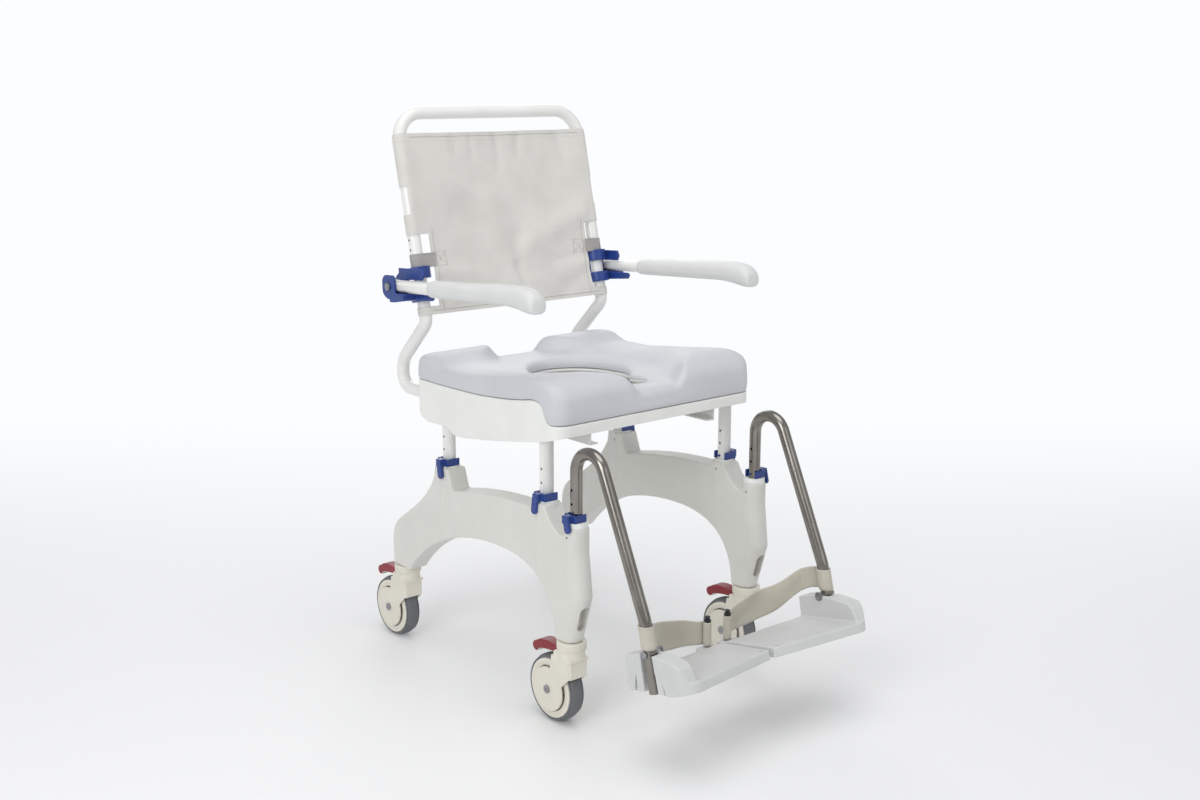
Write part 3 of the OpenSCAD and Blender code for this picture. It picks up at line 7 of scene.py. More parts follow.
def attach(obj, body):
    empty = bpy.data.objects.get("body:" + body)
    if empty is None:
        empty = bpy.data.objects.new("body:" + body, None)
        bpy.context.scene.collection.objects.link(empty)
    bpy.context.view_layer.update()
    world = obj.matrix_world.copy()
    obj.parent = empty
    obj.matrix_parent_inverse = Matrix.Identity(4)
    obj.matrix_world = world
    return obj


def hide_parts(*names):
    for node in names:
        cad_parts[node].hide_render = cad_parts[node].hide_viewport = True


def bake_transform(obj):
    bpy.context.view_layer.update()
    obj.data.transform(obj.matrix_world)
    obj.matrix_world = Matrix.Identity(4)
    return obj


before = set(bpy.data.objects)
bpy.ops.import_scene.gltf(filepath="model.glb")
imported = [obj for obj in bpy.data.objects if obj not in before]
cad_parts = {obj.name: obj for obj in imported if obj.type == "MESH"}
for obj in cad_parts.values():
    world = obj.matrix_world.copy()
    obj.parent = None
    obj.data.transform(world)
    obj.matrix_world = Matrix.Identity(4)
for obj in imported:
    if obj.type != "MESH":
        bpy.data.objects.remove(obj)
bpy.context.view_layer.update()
mm = 0.001
sideSigns = {"right": -1, "left": 1}
castorPlaces = ["front_right", "front_left", "rear_right", "rear_left"]

# Main places of the chair in millimetres, as in the part's source
chair = {
    "halfTrack": 220.0, "wheelbase": 537.0, "frontSwivelY": -173.988, "rearSwivelY": 363.012,
    "frontPostY": -105.988, "rearPostY": 200.102, "hangerY": -188.988,
    "footPivotY": -380.988, "footPivotZ": 205.0, "footTilt": 11.5,
    "seatRearY": 291.102, "seatDepth": 452.0, "seatWidth": 480.0, "seamZ": 569.0,
    "backLowY": 271.102, "coverLowZ": 690.0, "coverHighZ": 1031.0, "lean": 12.8, "pushBarZ": 1071.0,
    "armX": 258.0, "armPivotY": 314.102, "armPivotZ": 747.0, "armRise": 3.15,
    "legZ": 165.0, "rimZ": 406.0, "receiverZ": 378.0,
}


# ---- Materials -------------------------------------------------------------
def linearColour(hexCode):
    values = [int(hexCode[i:i + 2], 16) / 255 for i in (1, 3, 5)]
    return [v / 12.92 if v <= 0.04045 else ((v + 0.055) / 1.055) ** 2.4 for v in values] + [1.0]


def setInputs(node, inputs):
    for socket, value in inputs.items():
        if isinstance(value, bpy.types.NodeSocket):
            node.id_data.links.new(value, node.inputs[socket])
        else:
            node.inputs[socket].default_value = value


def addNode(tree, kind, inputs=None, **settings):
    node = tree.nodes.new(kind)
    for key, value in settings.items():
        setattr(node, key, value)
    setInputs(node, inputs or {})
    return node


def startMaterial(name, roughness, metallic=0.0, **sockets):
    material = bpy.data.materials.new(name)
    material.use_nodes = True
    tree = material.node_tree
    shader = tree.nodes["Principled BSDF"]
    setInputs(shader, {"Roughness": roughness, "Metallic": metallic})
    setInputs(shader, {socket.replace("_", " "): value for socket, value in sockets.items()})
    place = addNode(tree, "ShaderNodeTexCoord").outputs["Object"]
    return material, tree, shader, place


def perMetre(sizeInMm):
    return 1000.0 / sizeInMm


def mottled(tree, place, base, other, patchMm, amount):
    # Two close tones of one colour, in soft patches as wide as patchMm
    cloud = addNode(tree, "ShaderNodeTexNoise", {"Vector": place, "Scale": perMetre(patchMm), "Detail": 3.0})
    fade = addNode(tree, "ShaderNodeMapRange", {"Value": cloud.outputs["Fac"], "From Min": 0.35,
                                                "From Max": 0.65, "To Max": amount})
    return addNode(tree, "ShaderNodeMix", {"Factor": fade.outputs["Result"], 6: linearColour(base),
                                           7: linearColour(other)}, data_type="RGBA").outputs[2]


def mouldedPlastic(name, base, tint, grainMm, grainDepthMm, roughness, wear="#ffffff",
                   wearAmount=0.25):
    # Moulded polyamide or ABS: even colour, fine spark-eroded grain, edges rubbed a little lighter
    material, tree, shader, place = startMaterial(name, roughness)
    colour = mottled(tree, place, base, tint, 55.0, 0.6)
    point = addNode(tree, "ShaderNodeNewGeometry").outputs["Pointiness"]
    edge = addNode(tree, "ShaderNodeMapRange", {"Value": point, "From Min": 0.53, "From Max": 0.62,
                                                "To Max": wearAmount})
    worn = addNode(tree, "ShaderNodeMix", {"Factor": edge.outputs["Result"], 6: colour,
                                           7: linearColour(wear)}, data_type="RGBA").outputs[2]
    grain = addNode(tree, "ShaderNodeTexNoise", {"Vector": place, "Scale": perMetre(grainMm), "Detail": 2.0})
    rub = addNode(tree, "ShaderNodeTexNoise", {"Vector": place, "Scale": perMetre(38.0), "Detail": 4.0})
    gloss = addNode(tree, "ShaderNodeMapRange", {"Value": rub.outputs["Fac"], "To Min": roughness - 0.06,
                                                 "To Max": roughness + 0.08})
    bump = addNode(tree, "ShaderNodeBump", {"Height": grain.outputs["Fac"], "Strength": 0.5,
                                            "Distance": grainDepthMm * mm})
    setInputs(shader, {"Base Color": worn, "Roughness": gloss.outputs["Result"],
                       "Normal": bump.outputs["Normal"]})
    return material


def foamSkin(name, base, tint):
    # Integral-skin polyurethane foam: closed matte skin, very fine pores, faint handling marks
    material, tree, shader, place = startMaterial(name, 0.52, Coat_Weight=0.08, Coat_Roughness=0.45)
    pores = addNode(tree, "ShaderNodeTexVoronoi", {"Vector": place, "Scale": perMetre(1.6)})
    swell = addNode(tree, "ShaderNodeTexNoise", {"Vector": place, "Scale": perMetre(24.0), "Detail": 3.0})
    rubbed = addNode(tree, "ShaderNodeMapRange", {"Value": swell.outputs["Fac"], "To Min": 0.44, "To Max": 0.6})
    fine = addNode(tree, "ShaderNodeBump", {"Height": pores.outputs["Distance"], "Strength": 0.35,
                                            "Distance": 0.12 * mm})
    soft = addNode(tree, "ShaderNodeBump", {"Height": swell.outputs["Fac"], "Strength": 0.4,
                                            "Distance": 0.8 * mm, "Normal": fine.outputs["Normal"]})
    setInputs(shader, {"Base Color": mottled(tree, place, base, tint, 70.0, 0.7),
                       "Roughness": rubbed.outputs["Result"], "Normal": soft.outputs["Normal"]})
    return material


def powderCoat():
    # White polyester powder coat on steel tube: satin, with a faint orange-peel swell
    material, tree, shader, place = startMaterial("white powder coat", 0.3, Coat_Weight=0.15,
                                                  Coat_Roughness=0.2)
    peel = addNode(tree, "ShaderNodeTexNoise", {"Vector": place, "Scale": perMetre(2.6), "Detail": 1.0})
    bump = addNode(tree, "ShaderNodeBump", {"Height": peel.outputs["Fac"], "Strength": 0.3,
                                            "Distance": 0.15 * mm})
    setInputs(shader, {"Base Color": mottled(tree, place, "#e9e9e6", "#e2e2de", 90.0, 0.6),
                       "Normal": bump.outputs["Normal"]})
    return material


def polishedStainless():
    # Stainless tube, ground round and polished: dark and bright streaks along it, fine hairlines across
    material, tree, shader, place = startMaterial("polished stainless tube", 0.2, 1.0, Anisotropic=0.35)
    along = addNode(tree, "ShaderNodeUVMap", uv_map="tube").outputs["UV"]
    lines = addNode(tree, "ShaderNodeMapping", {"Vector": along, "Scale": (900.0, 22.0, 1.0)})
    hair = addNode(tree, "ShaderNodeTexNoise", {"Vector": lines.outputs["Vector"], "Scale": 1.0, "Detail": 3.0})
    dull = addNode(tree, "ShaderNodeTexNoise", {"Vector": place, "Scale": perMetre(30.0), "Detail": 3.0})
    rough = addNode(tree, "ShaderNodeMapRange", {"Value": dull.outputs["Fac"], "To Min": 0.13, "To Max": 0.27})
    bump = addNode(tree, "ShaderNodeBump", {"Height": hair.outputs["Fac"], "Strength": 0.12,
                                            "Distance": 0.1 * mm})
    setInputs(shader, {"Base Color": mottled(tree, place, "#928e88", "#7f7b75", 45.0, 0.7),
                       "Roughness": rough.outputs["Result"], "Normal": bump.outputs["Normal"]})
    return material


def zincPlate():
    # Zinc-plated steel: grey with a cloudy passivated film and small scratches
    material, tree, shader, place = startMaterial("zinc plated steel", 0.32, 1.0)
    scratch = addNode(tree, "ShaderNodeTexNoise", {"Vector": place, "Scale": perMetre(1.2), "Detail": 3.0})
    bump = addNode(tree, "ShaderNodeBump", {"Height": scratch.outputs["Fac"], "Strength": 0.2,
                                            "Distance": 0.1 * mm})
    setInputs(shader, {"Base Color": mottled(tree, place, "#a7a8aa", "#8d8f93", 6.0, 0.8),
                       "Normal": bump.outputs["Normal"]})
    return material


def wovenCloth(name, base, tint, threadMm, stitchAt, hemAt):
    # Coated polyester textile in plain weave. The thread is about 0.6 mm and is drawn coarser, to show.
    material, tree, shader, place = startMaterial(name, 0.78, Sheen_Weight=0.25, Sheen_Roughness=0.5)
    flat = addNode(tree, "ShaderNodeUVMap", uv_map="flat").outputs["UV"]
    spin = {"Vector": flat, "Scale": perMetre(threadMm) / 6.2832, "Distortion": 0.0}
    warp = addNode(tree, "ShaderNodeTexWave", spin, bands_direction="X")
    weft = addNode(tree, "ShaderNodeTexWave", spin, bands_direction="Y")
    weave = addNode(tree, "ShaderNodeMath", {0: warp.outputs["Fac"], 1: weft.outputs["Fac"]},
                    operation="MULTIPLY").outputs[0]
    slub = addNode(tree, "ShaderNodeTexNoise", {"Vector": flat, "Scale": perMetre(9.0), "Detail": 4.0})
    colour = mottled(tree, place, base, tint, 60.0, 0.8)
    shade = addNode(tree, "ShaderNodeMapRange", {"Value": weave, "To Min": 0.94, "To Max": 1.04})
    dim = addNode(tree, "ShaderNodeVectorMath", {0: colour, "Scale": shade.outputs["Result"]},
                  operation="SCALE")
    edge = addNode(tree, "ShaderNodeAttribute", attribute_name="edge").outputs["Fac"]
    marks = None
    for at, width, depth in ((stitchAt, 0.7, 0.7), (hemAt, 1.0, 0.45)):
        away = addNode(tree, "ShaderNodeMath", {0: edge, 1: at}, operation="SUBTRACT").outputs[0]
        near = addNode(tree, "ShaderNodeMath", {0: away}, operation="ABSOLUTE").outputs[0]
        line = addNode(tree, "ShaderNodeMapRange", {"Value": near, "From Max": width, "To Min": depth,
                                                    "To Max": 0.0}).outputs["Result"]
        marks = line if marks is None else addNode(tree, "ShaderNodeMath", {0: marks, 1: line},
                                                   operation="MAXIMUM").outputs[0]
    dark = addNode(tree, "ShaderNodeMath", {0: marks, 1: 0.4}, operation="MULTIPLY").outputs[0]
    lined = addNode(tree, "ShaderNodeMix", {"Factor": dark, 6: dim.outputs["Vector"],
                                            7: linearColour("#8e8a82")}, data_type="RGBA").outputs[2]
    height = addNode(tree, "ShaderNodeMath", {0: weave, 1: marks}, operation="SUBTRACT").outputs[0]
    fine = addNode(tree, "ShaderNodeBump", {"Height": height, "Strength": 0.4, "Distance": 0.3 * mm})
    soft = addNode(tree, "ShaderNodeBump", {"Height": slub.outputs["Fac"], "Strength": 0.35,
                                            "Distance": 0.8 * mm, "Normal": fine.outputs["Normal"]})
    setInputs(shader, {"Base Color": lined, "Normal": soft.outputs["Normal"]})
    return material


finishes = {
    "frame": mouldedPlastic("moulded polyamide frame", "#d8d7d1", "#d2d1cb", 1.1, 0.12, 0.46),
    "shell": mouldedPlastic("moulded seat shell", "#e9eae6", "#e3e4e0", 1.4, 0.08, 0.36),
    "plate": mouldedPlastic("moulded footplate", "#cfd0cf", "#c7c8c7", 1.5, 0.22, 0.5),
    "collar": mouldedPlastic("white nylon bush", "#eceeea", "#e4e6e2", 1.2, 0.06, 0.4),
    "blue": mouldedPlastic("blue nylon", "#24418a", "#1d3676", 1.2, 0.08, 0.34, "#5f7cc0", 0.35),
    "cream": mouldedPlastic("cream nylon castor", "#e0dcd0", "#d7d3c5", 1.2, 0.06, 0.38),
    "red": mouldedPlastic("red nylon pedal", "#8c212c", "#7a1a25", 1.2, 0.08, 0.4, "#b4525a", 0.3),
    "rubber": mouldedPlastic("grey castor rubber", "#6b6d70", "#616366", 1.3, 0.15, 0.68, "#85878a", 0.4),
    "black": mouldedPlastic("black nylon", "#26272a", "#1d1e20", 1.1, 0.08, 0.42, "#4a4c50", 0.3),
    "pad": foamSkin("cool grey foam skin", "#cacbcf", "#c3c5c9"),
    "armPad": foamSkin("pale grey foam skin", "#d9dad8", "#d2d3d1"),
    "paint": powderCoat(),
    "stainless": polishedStainless(),
    "zinc": zincPlate(),
    "cover": wovenCloth("coated back textile", "#dad8d2", "#d2cfc9", 1.3, 7.0, 15.0),
    "strap": wovenCloth("heel strap textile", "#c8c3b5", "#beb8aa", 1.2, 2.5, 5.0),
    # The webbing's grey is painted shade: its cloth is beige like the cover, and the grey stands for the shade on
    # it inside the sleeve. The cover's stitches take the same grey.
    "webbing": wovenCloth("painted shade grey for webbing and thread", "#a9a6a3", "#9c9996", 1.6, 1.5, 3.0),
}
print("materials ready")


# ---- Meshes ----------------------------------------------------------------
def addObject(name, data):
    obj = bpy.data.objects.new(name, data)
    bpy.context.scene.collection.objects.link(obj)
    return obj


def newPiece(name, points, faces, edges=()):
    mesh = bpy.data.meshes.new(name)
    mesh.from_pydata([(x * mm, y * mm, z * mm) for x, y, z in points], edges, faces)
    return addObject(name, mesh)


def bakeModifiers(obj):
    bpy.context.view_layer.update()
    graph = bpy.context.evaluated_depsgraph_get()
    mesh = bpy.data.meshes.new_from_object(obj.evaluated_get(graph))
    obj.modifiers.clear()
    obj.data = mesh
    return obj


def reshaped(obj, change):
    shape = bmesh.new()
    shape.from_mesh(obj.data)
    change(shape)
    shape.to_mesh(obj.data)
    shape.free()
    return obj


def outwardNormals(obj):
    return reshaped(obj, lambda shape: bmesh.ops.recalc_face_normals(shape, faces=shape.faces))


def finishPiece(obj, finish, body, nodes=(), angle=38):
    if finish and not obj.data.materials:
        obj.data.materials.append(finishes[finish])
    obj.data.shade_smooth()
    obj.data.set_sharp_from_angle(angle=math.radians(angle))
    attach(obj, body)
    if nodes:
        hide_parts(*nodes)
    return obj


def bezier(points, steps, first=0):
    out = []
    for i in range(first, steps + 1):
        t = i / steps
        s = 1 - t
        weights = (s ** 3, 3 * s * s * t, 3 * s * t * t, t ** 3)
        out.append(tuple(sum(w * p[k] for w, p in zip(weights, points)) for k in (0, 1)))
    return out


def smoothStep(t):
    t = min(1.0, max(0.0, t))
    return t * t * (3 - 2 * t)


def smoothTable(rows):
    # Monotone curve through the rows: the first column is the place, the others are values there
    xs = [row[0] for row in rows]
    gaps = [b - a for a, b in zip(xs, xs[1:])]
    columns = []
    for k in range(1, len(rows[0])):
        ys = [row[k] for row in rows]
        rise = [(ys[i + 1] - ys[i]) / gaps[i] for i in range(len(gaps))]
        slope = [rise[0]]
        for a, b in zip(rise, rise[1:]):
            slope.append(0.0 if a * b <= 0 else 2 * a * b / (a + b))
        columns.append((ys, slope + [rise[-1]]))

    def at(x):
        x = min(xs[-1], max(xs[0], x))
        i = max(k for k in range(len(gaps)) if k == 0 or xs[k] <= x)
        t = (x - xs[i]) / gaps[i]
        out = []
        for ys, slope in columns:
            out.append((1 + 2 * t) * (1 - t) ** 2 * ys[i] + t * (1 - t) ** 2 * gaps[i] * slope[i]
                       + t * t * (3 - 2 * t) * ys[i + 1] + t * t * (t - 1) * gaps[i] * slope[i + 1])
        return out[0] if len(out) == 1 else out
    return at


def gridFaces(rows, columns, aroundColumns=False, aroundRows=False):
    faces = []
    for r in range(rows if aroundRows else rows - 1):
        for c in range(columns if aroundColumns else columns - 1):
            nextRow, nextColumn = (r + 1) % rows, (c + 1) % columns
            faces.append((r * columns + c, r * columns + nextColumn, nextRow * columns + nextColumn,
                          nextRow * columns + c))
    return faces


def circle(a, b, radius, around):
    return [(a + radius * math.cos(2 * math.pi * i / around), b + radius * math.sin(2 * math.pi * i / around))
            for i in range(around)]


def sideWalls(count):
    return [(i, (i + 1) % count, count + (i + 1) % count, count + i) for i in range(count)]


def prismFaces(count):
    return [tuple(range(count)), tuple(range(2 * count - 1, count - 1, -1))] + sideWalls(count)


def prismAlongX(outline, x0, x1):
    return [(x, y, z) for x in (x0, x1) for y, z in outline], prismFaces(len(outline))


def prismAlongY(outline, y0, y1):
    return [(x, y, z) for y in (y0, y1) for x, z in outline], prismFaces(len(outline))


def prismAlongZ(outline, z0, z1):
    return [(x, y, z) for z in (z0, z1) for x, y in outline], prismFaces(len(outline))


def upright(x, y, z0, z1, radius, around=64):
    return prismAlongZ(circle(x, y, radius, around), z0, z1)


def rodAlongX(x0, x1, y, z, radius, around=32):
    return prismAlongX(circle(y, z, radius, around), x0, x1)


def joined(name, parts):
    points, faces = [], []
    for partPoints, partFaces in parts:
        base = len(points)
        points += partPoints
        faces += [tuple(base + i for i in face) for face in partFaces]
    return outwardNormals(newPiece(name, points, faces))


def roundedBody(obj, voxelMm, passes):
    # Fuses overlapping solids into one skin and rounds its edges, as on a moulded part
    remesh = obj.modifiers.new("skin", "REMESH")
    remesh.mode = "VOXEL"
    remesh.voxel_size = voxelMm * mm * 1.0
    rounding = obj.modifiers.new("rounding", "SMOOTH")
    rounding.factor = 0.5
    rounding.iterations = max(1, round(passes / (1)))
    return bakeModifiers(obj)


def carved(obj, parts):
    cutter = joined("cutter", parts)
    cut = obj.modifiers.new("cut", "BOOLEAN")
    cut.operation = "DIFFERENCE"
    cut.solver = "EXACT"
    cut.object = cutter
    bakeModifiers(obj)
    bpy.data.objects.remove(cutter)
    return obj


def solidCopy(name, node):
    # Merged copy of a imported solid
    obj = addObject(name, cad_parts[node].data.copy())
    obj.data.materials.clear()
    return reshaped(obj, lambda shape: bmesh.ops.remove_doubles(shape, verts=shape.verts, dist=0.002 * mm))


def shiftedCopy(obj, name, dx=0.0, dy=0.0, flip=False):
    twin = addObject(name, obj.data.copy())
    if flip:
        twin.data.transform(Matrix.Scale(-1, 4, (1, 0, 0)))
        twin.data.flip_normals()
    twin.data.transform(Matrix.Translation((dx * mm, dy * mm, 0)))
    return twin


def cornerArcs(corners, radii, step):
    # Points along a bent rod: straight runs, and a true arc at each inner corner
    corners = [Vector(c) for c in corners]
    out = [corners[0]]
    for i in range(1, len(corners) - 1):
        into = (corners[i] - corners[i - 1]).normalized()
        away = (corners[i + 1] - corners[i]).normalized()
        turn = into.angle(away)
        reach = radii[i - 1] * math.tan(turn / 2)
        axis = into.cross(away).normalized()
        start = corners[i] - into * reach
        centre = start + axis.cross(into) * radii[i - 1]
        count = max(6, int(radii[i - 1] * turn / step))
        for k in range(count + 1):
            out.append(centre + Matrix.Rotation(turn * k / count, 3, axis) @ (start - centre))
    out.append(corners[-1])
    dense = [out[0]]
    for a, b in zip(out, out[1:]):
        pieces = max(1, int((b - a).length / 40.0))
        dense += [a.lerp(b, k / pieces) for k in range(1, pieces + 1)]
    return dense


def sweptTube(name, centres, radius, bore, around=56):
    points, uvs = [], []
    forward = (centres[1] - centres[0]).normalized()
    across = forward.orthogonal().normalized()
    travelled = 0.0
    for k, centre in enumerate(centres):
        ahead = (centres[min(k + 1, len(centres) - 1)] - centres[max(k - 1, 0)]).normalized()
        across = (across - ahead * across.dot(ahead)).normalized()
        other = ahead.cross(across)
        travelled += (centre - centres[k - 1]).length if k else 0.0
        for r in (radius, bore):
            for i in range(around):
                a = 2 * math.pi * i / around
                points.append(tuple(centre + (across * math.cos(a) + other * math.sin(a)) * r))
                uvs.append((travelled * mm, a * radius * mm))
    faces = []
    for k in range(len(centres) - 1):
        for i in range(around):
            j = (i + 1) % around
            here, there = 2 * around * k, 2 * around * (k + 1)
            faces.append((here + i, here + j, there + j, there + i))
            faces.append((here + around + j, here + around + i, there + around + i, there + around + j))
    last = 2 * around * (len(centres) - 1)
    for i in range(around):
        j = (i + 1) % around
        faces.append((j, i, around + i, around + j))
        faces.append((last + i, last + j, last + around + j, last + around + i))
    obj = newPiece(name, points, faces)
    layer = obj.data.uv_layers.new(name="tube")
    for loop in obj.data.loops:
        layer.data[loop.index].uv = uvs[loop.vertex_index]
    return outwardNormals(obj)


def turnedRing(name, profile, centre, around=128):
    # A closed profile of (radius, x) turned about the wheel's axle
    points = []
    for i in range(around):
        a = 2 * math.pi * i / around
        points += [(centre[0] + x, centre[1] + r * math.cos(a), centre[2] + r * math.sin(a))
                   for r, x in profile]
    return outwardNormals(newPiece(name, points, gridFaces(around, len(profile), True, True)))


# ---- Camera, floor and light -------------------------------------------------
camera = {"place": (-1699.42, -2020.56, 1130.36), "azimuth": 39.916,
          "down": 12.631, "lens": 42.641}


def setCamera():
    data = bpy.data.cameras.new("camera")
    data.lens = camera["lens"]
    data.sensor_width = 36.0
    data.clip_end = 60.0
    obj = addObject("camera", data)
    turn, down = math.radians(camera["azimuth"]), math.radians(camera["down"])
    ahead = Vector((math.sin(turn) * math.cos(down), math.cos(turn) * math.cos(down), -math.sin(down)))
    right = Vector((math.cos(turn), -math.sin(turn), 0))
    up = right.cross(ahead)
    obj.matrix_world = Matrix((
        (right.x, up.x, -ahead.x, camera["place"][0] * mm), (right.y, up.y, -ahead.y, camera["place"][1] * mm),
        (right.z, up.z, -ahead.z, camera["place"][2] * mm), (0, 0, 0, 1)))
    bpy.context.scene.camera = obj


studio = {"worldLight": 0.57, "seen": "#fcfdff", "floor": "#efefef", "fadeStart": -0.5, "fadeEnd": 2.2,
          "lamps": [  # name, place, aim, size in metres, watts
              ("key softbox", (-3.3, -1.3, 2.2), (0, 0, 0.5), 2.4, 49.0),
              ("top softbox", (-0.3, -0.5, 3.4), (0, 0, 0.5), 2.6, 33.0),
              ("front fill", (0.4, -3.6, 1.9), (0, 0, 0.6), 2.2, 9.0),
              ("rear fill", (1.8, 2.8, 1.8), (0, 0, 0.6), 2.0, 18.0)]}


def setStudio():
    scene = bpy.context.scene
    scene.view_settings.view_transform = "Standard"
    world = bpy.data.worlds.new("studio")
    scene.world = world
    world.use_nodes = True
    tree = world.node_tree
    tree.nodes.clear()
    rays = addNode(tree, "ShaderNodeLightPath").outputs
    seen = addNode(tree, "ShaderNodeMath", {0: rays["Is Camera Ray"], 1: rays["Is Transmission Ray"]},
                   operation="MAXIMUM").outputs[0]
    light = addNode(tree, "ShaderNodeBackground", {"Color": linearColour("#fbfcff"),
                                                   "Strength": studio["worldLight"]}).outputs[0]
    look = addNode(tree, "ShaderNodeBackground", {"Color": linearColour(studio["seen"])}).outputs[0]
    mix = addNode(tree, "ShaderNodeMixShader", {0: seen, 1: light, 2: look}).outputs[0]
    addNode(tree, "ShaderNodeOutputWorld", {"Surface": mix})
    for name, place, aim, size, watts in studio["lamps"]:
        data = bpy.data.lights.new(name, "AREA")
        data.shape = "DISK"
        data.size = size
        data.energy = watts
        lamp = addObject(name, data)
        lamp.location = place
        lamp.rotation_euler = (Vector(aim) - Vector(place)).to_track_quat("-Z", "Y").to_euler()
    # Seamless studio floor: matte paper that fades to the background's white away from the chair
    floor = newPiece("studio_floor", [(-14000, -9000, 0), (14000, -9000, 0), (14000, 22000, 0),
                                      (-14000, 22000, 0)], [(0, 1, 2, 3)])
    material, tree, shader, place = startMaterial("seamless paper", 0.9)
    grain = addNode(tree, "ShaderNodeTexNoise", {"Vector": place, "Scale": perMetre(5.0), "Detail": 2.0})
    bump = addNode(tree, "ShaderNodeBump", {"Height": grain.outputs["Fac"], "Strength": 0.1,
                                            "Distance": 0.2 * mm})
    setInputs(shader, {"Base Color": linearColour(studio["floor"]), "Normal": bump.outputs["Normal"]})
    turn = math.radians(camera["azimuth"])
    far = addNode(tree, "ShaderNodeVectorMath", {0: place, 1: (math.sin(turn), math.cos(turn), 0)},
                  operation="DOT_PRODUCT").outputs["Value"]
    fade = addNode(tree, "ShaderNodeMapRange", {"Value": far, "From Min": studio["fadeStart"],
                                                "From Max": studio["fadeEnd"], "To Max": 1.0},
                   interpolation_type="SMOOTHSTEP").outputs["Result"]
    glow = addNode(tree, "ShaderNodeEmission", {"Color": linearColour(studio["seen"])}).outputs[0]
    blend = addNode(tree, "ShaderNodeMixShader", {0: fade, 1: shader.outputs[0], 2: glow}).outputs[0]
    setInputs(tree.nodes["Material Output"], {"Surface": blend})
    floor.data.materials.append(material)


setCamera()
setStudio()
print("camera and studio ready")


# ---- Side frames ---------------------------------------------------------------
sideFrame = {"thickness": 42.0, "towerProud": 1.2, "voxel": 2.0, "roundingPasses": 7, "ovalHeight": 48.0,
             "ovalWidth": 20.0, "ovalDepth": 31.0, "ovalZ": 213.0, "wallHole": 5.0, "wallHoleDown": 16.0,
             "postBore": 15.6, "postFloorZ": 282.0, "receiverBore": 15.1, "receiverFloorZ": 298.0,
             "stemBore": 5.6, "stemTopZ": 203.0, "socketWall": 4.0, "shoulderBack": 12.0, "shoulderShare": 0.37,
             "plugHole": 4.1, "plugPlaces": ((0.283, 0.84), (0.013, 0.4))}


def sideFrameOutline():
    y0, z0 = chair["frontSwivelY"], chair["legZ"]
    height = chair["rimZ"] - z0

    def run(shares, first=0):
        return bezier([(y0 + a * chair["wheelbase"], z0 + b * height) for a, b in shares], 24, first)

    tower = sideFrame["thickness"] / 2 + sideFrame["towerProud"]
    rim, receiver = chair["rimZ"], chair["receiverZ"]
    front, rear, hanger = chair["frontPostY"], chair["rearPostY"], chair["hangerY"]
    shoulder = (hanger - sideFrame["shoulderBack"], z0 + height * sideFrame["shoulderShare"])
    dip = bezier([(front - tower + 2, rim - 4), (front - tower - 6, receiver + 4),
                  (hanger + tower + 12, receiver - 15), (hanger + tower - 2, receiver - 17)], 12)
    outline = run([[0.04, 0], [0.052, 0.415], [0.173, 0.539], [0.341, 0.539]])
    outline += run([[0.341, 0.539], [0.583, 0.548], [0.797, 0.353], [0.928, 0]], 1)
    outline += [(y0 + 1.039 * chair["wheelbase"], z0)]
    outline += run([[1.039, 0.207], [1.035, 0.373], [0.993, 0.419], [0.927, 0.515]])
    outline += run([[0.927, 0.515], [0.853, 0.622], [0.778, 0.747], [0.743, 0.913]], 1)
    outline += [(rear + tower, rim), (rear, rim), (rear - tower, rim),
                (rear - tower * 1.6, rim - height * 0.15)]
    outline += run([[0.625, 0.84], [0.46, 0.921], [0.341, 0.942], [0.2, 0.95]])
    outline += [(front, rim - 10), (front, rim)] + dip + [(hanger, receiver - 17), (hanger, receiver)]
    return outline + [shoulder, (y0, z0)]


def hullPart(points):
    shape = bmesh.new()
    for p in points:
        shape.verts.new(p)
    found = bmesh.ops.convex_hull(shape, input=shape.verts)
    bmesh.ops.delete(shape, geom=list({v for v in found["geom_interior"] if isinstance(v, bmesh.types.BMVert)}),
                     context="VERTS")
    shape.verts.index_update()
    out = [tuple(v.co) for v in shape.verts], [tuple(v.index for v in f.verts) for f in shape.faces]
    shape.free()
    return out


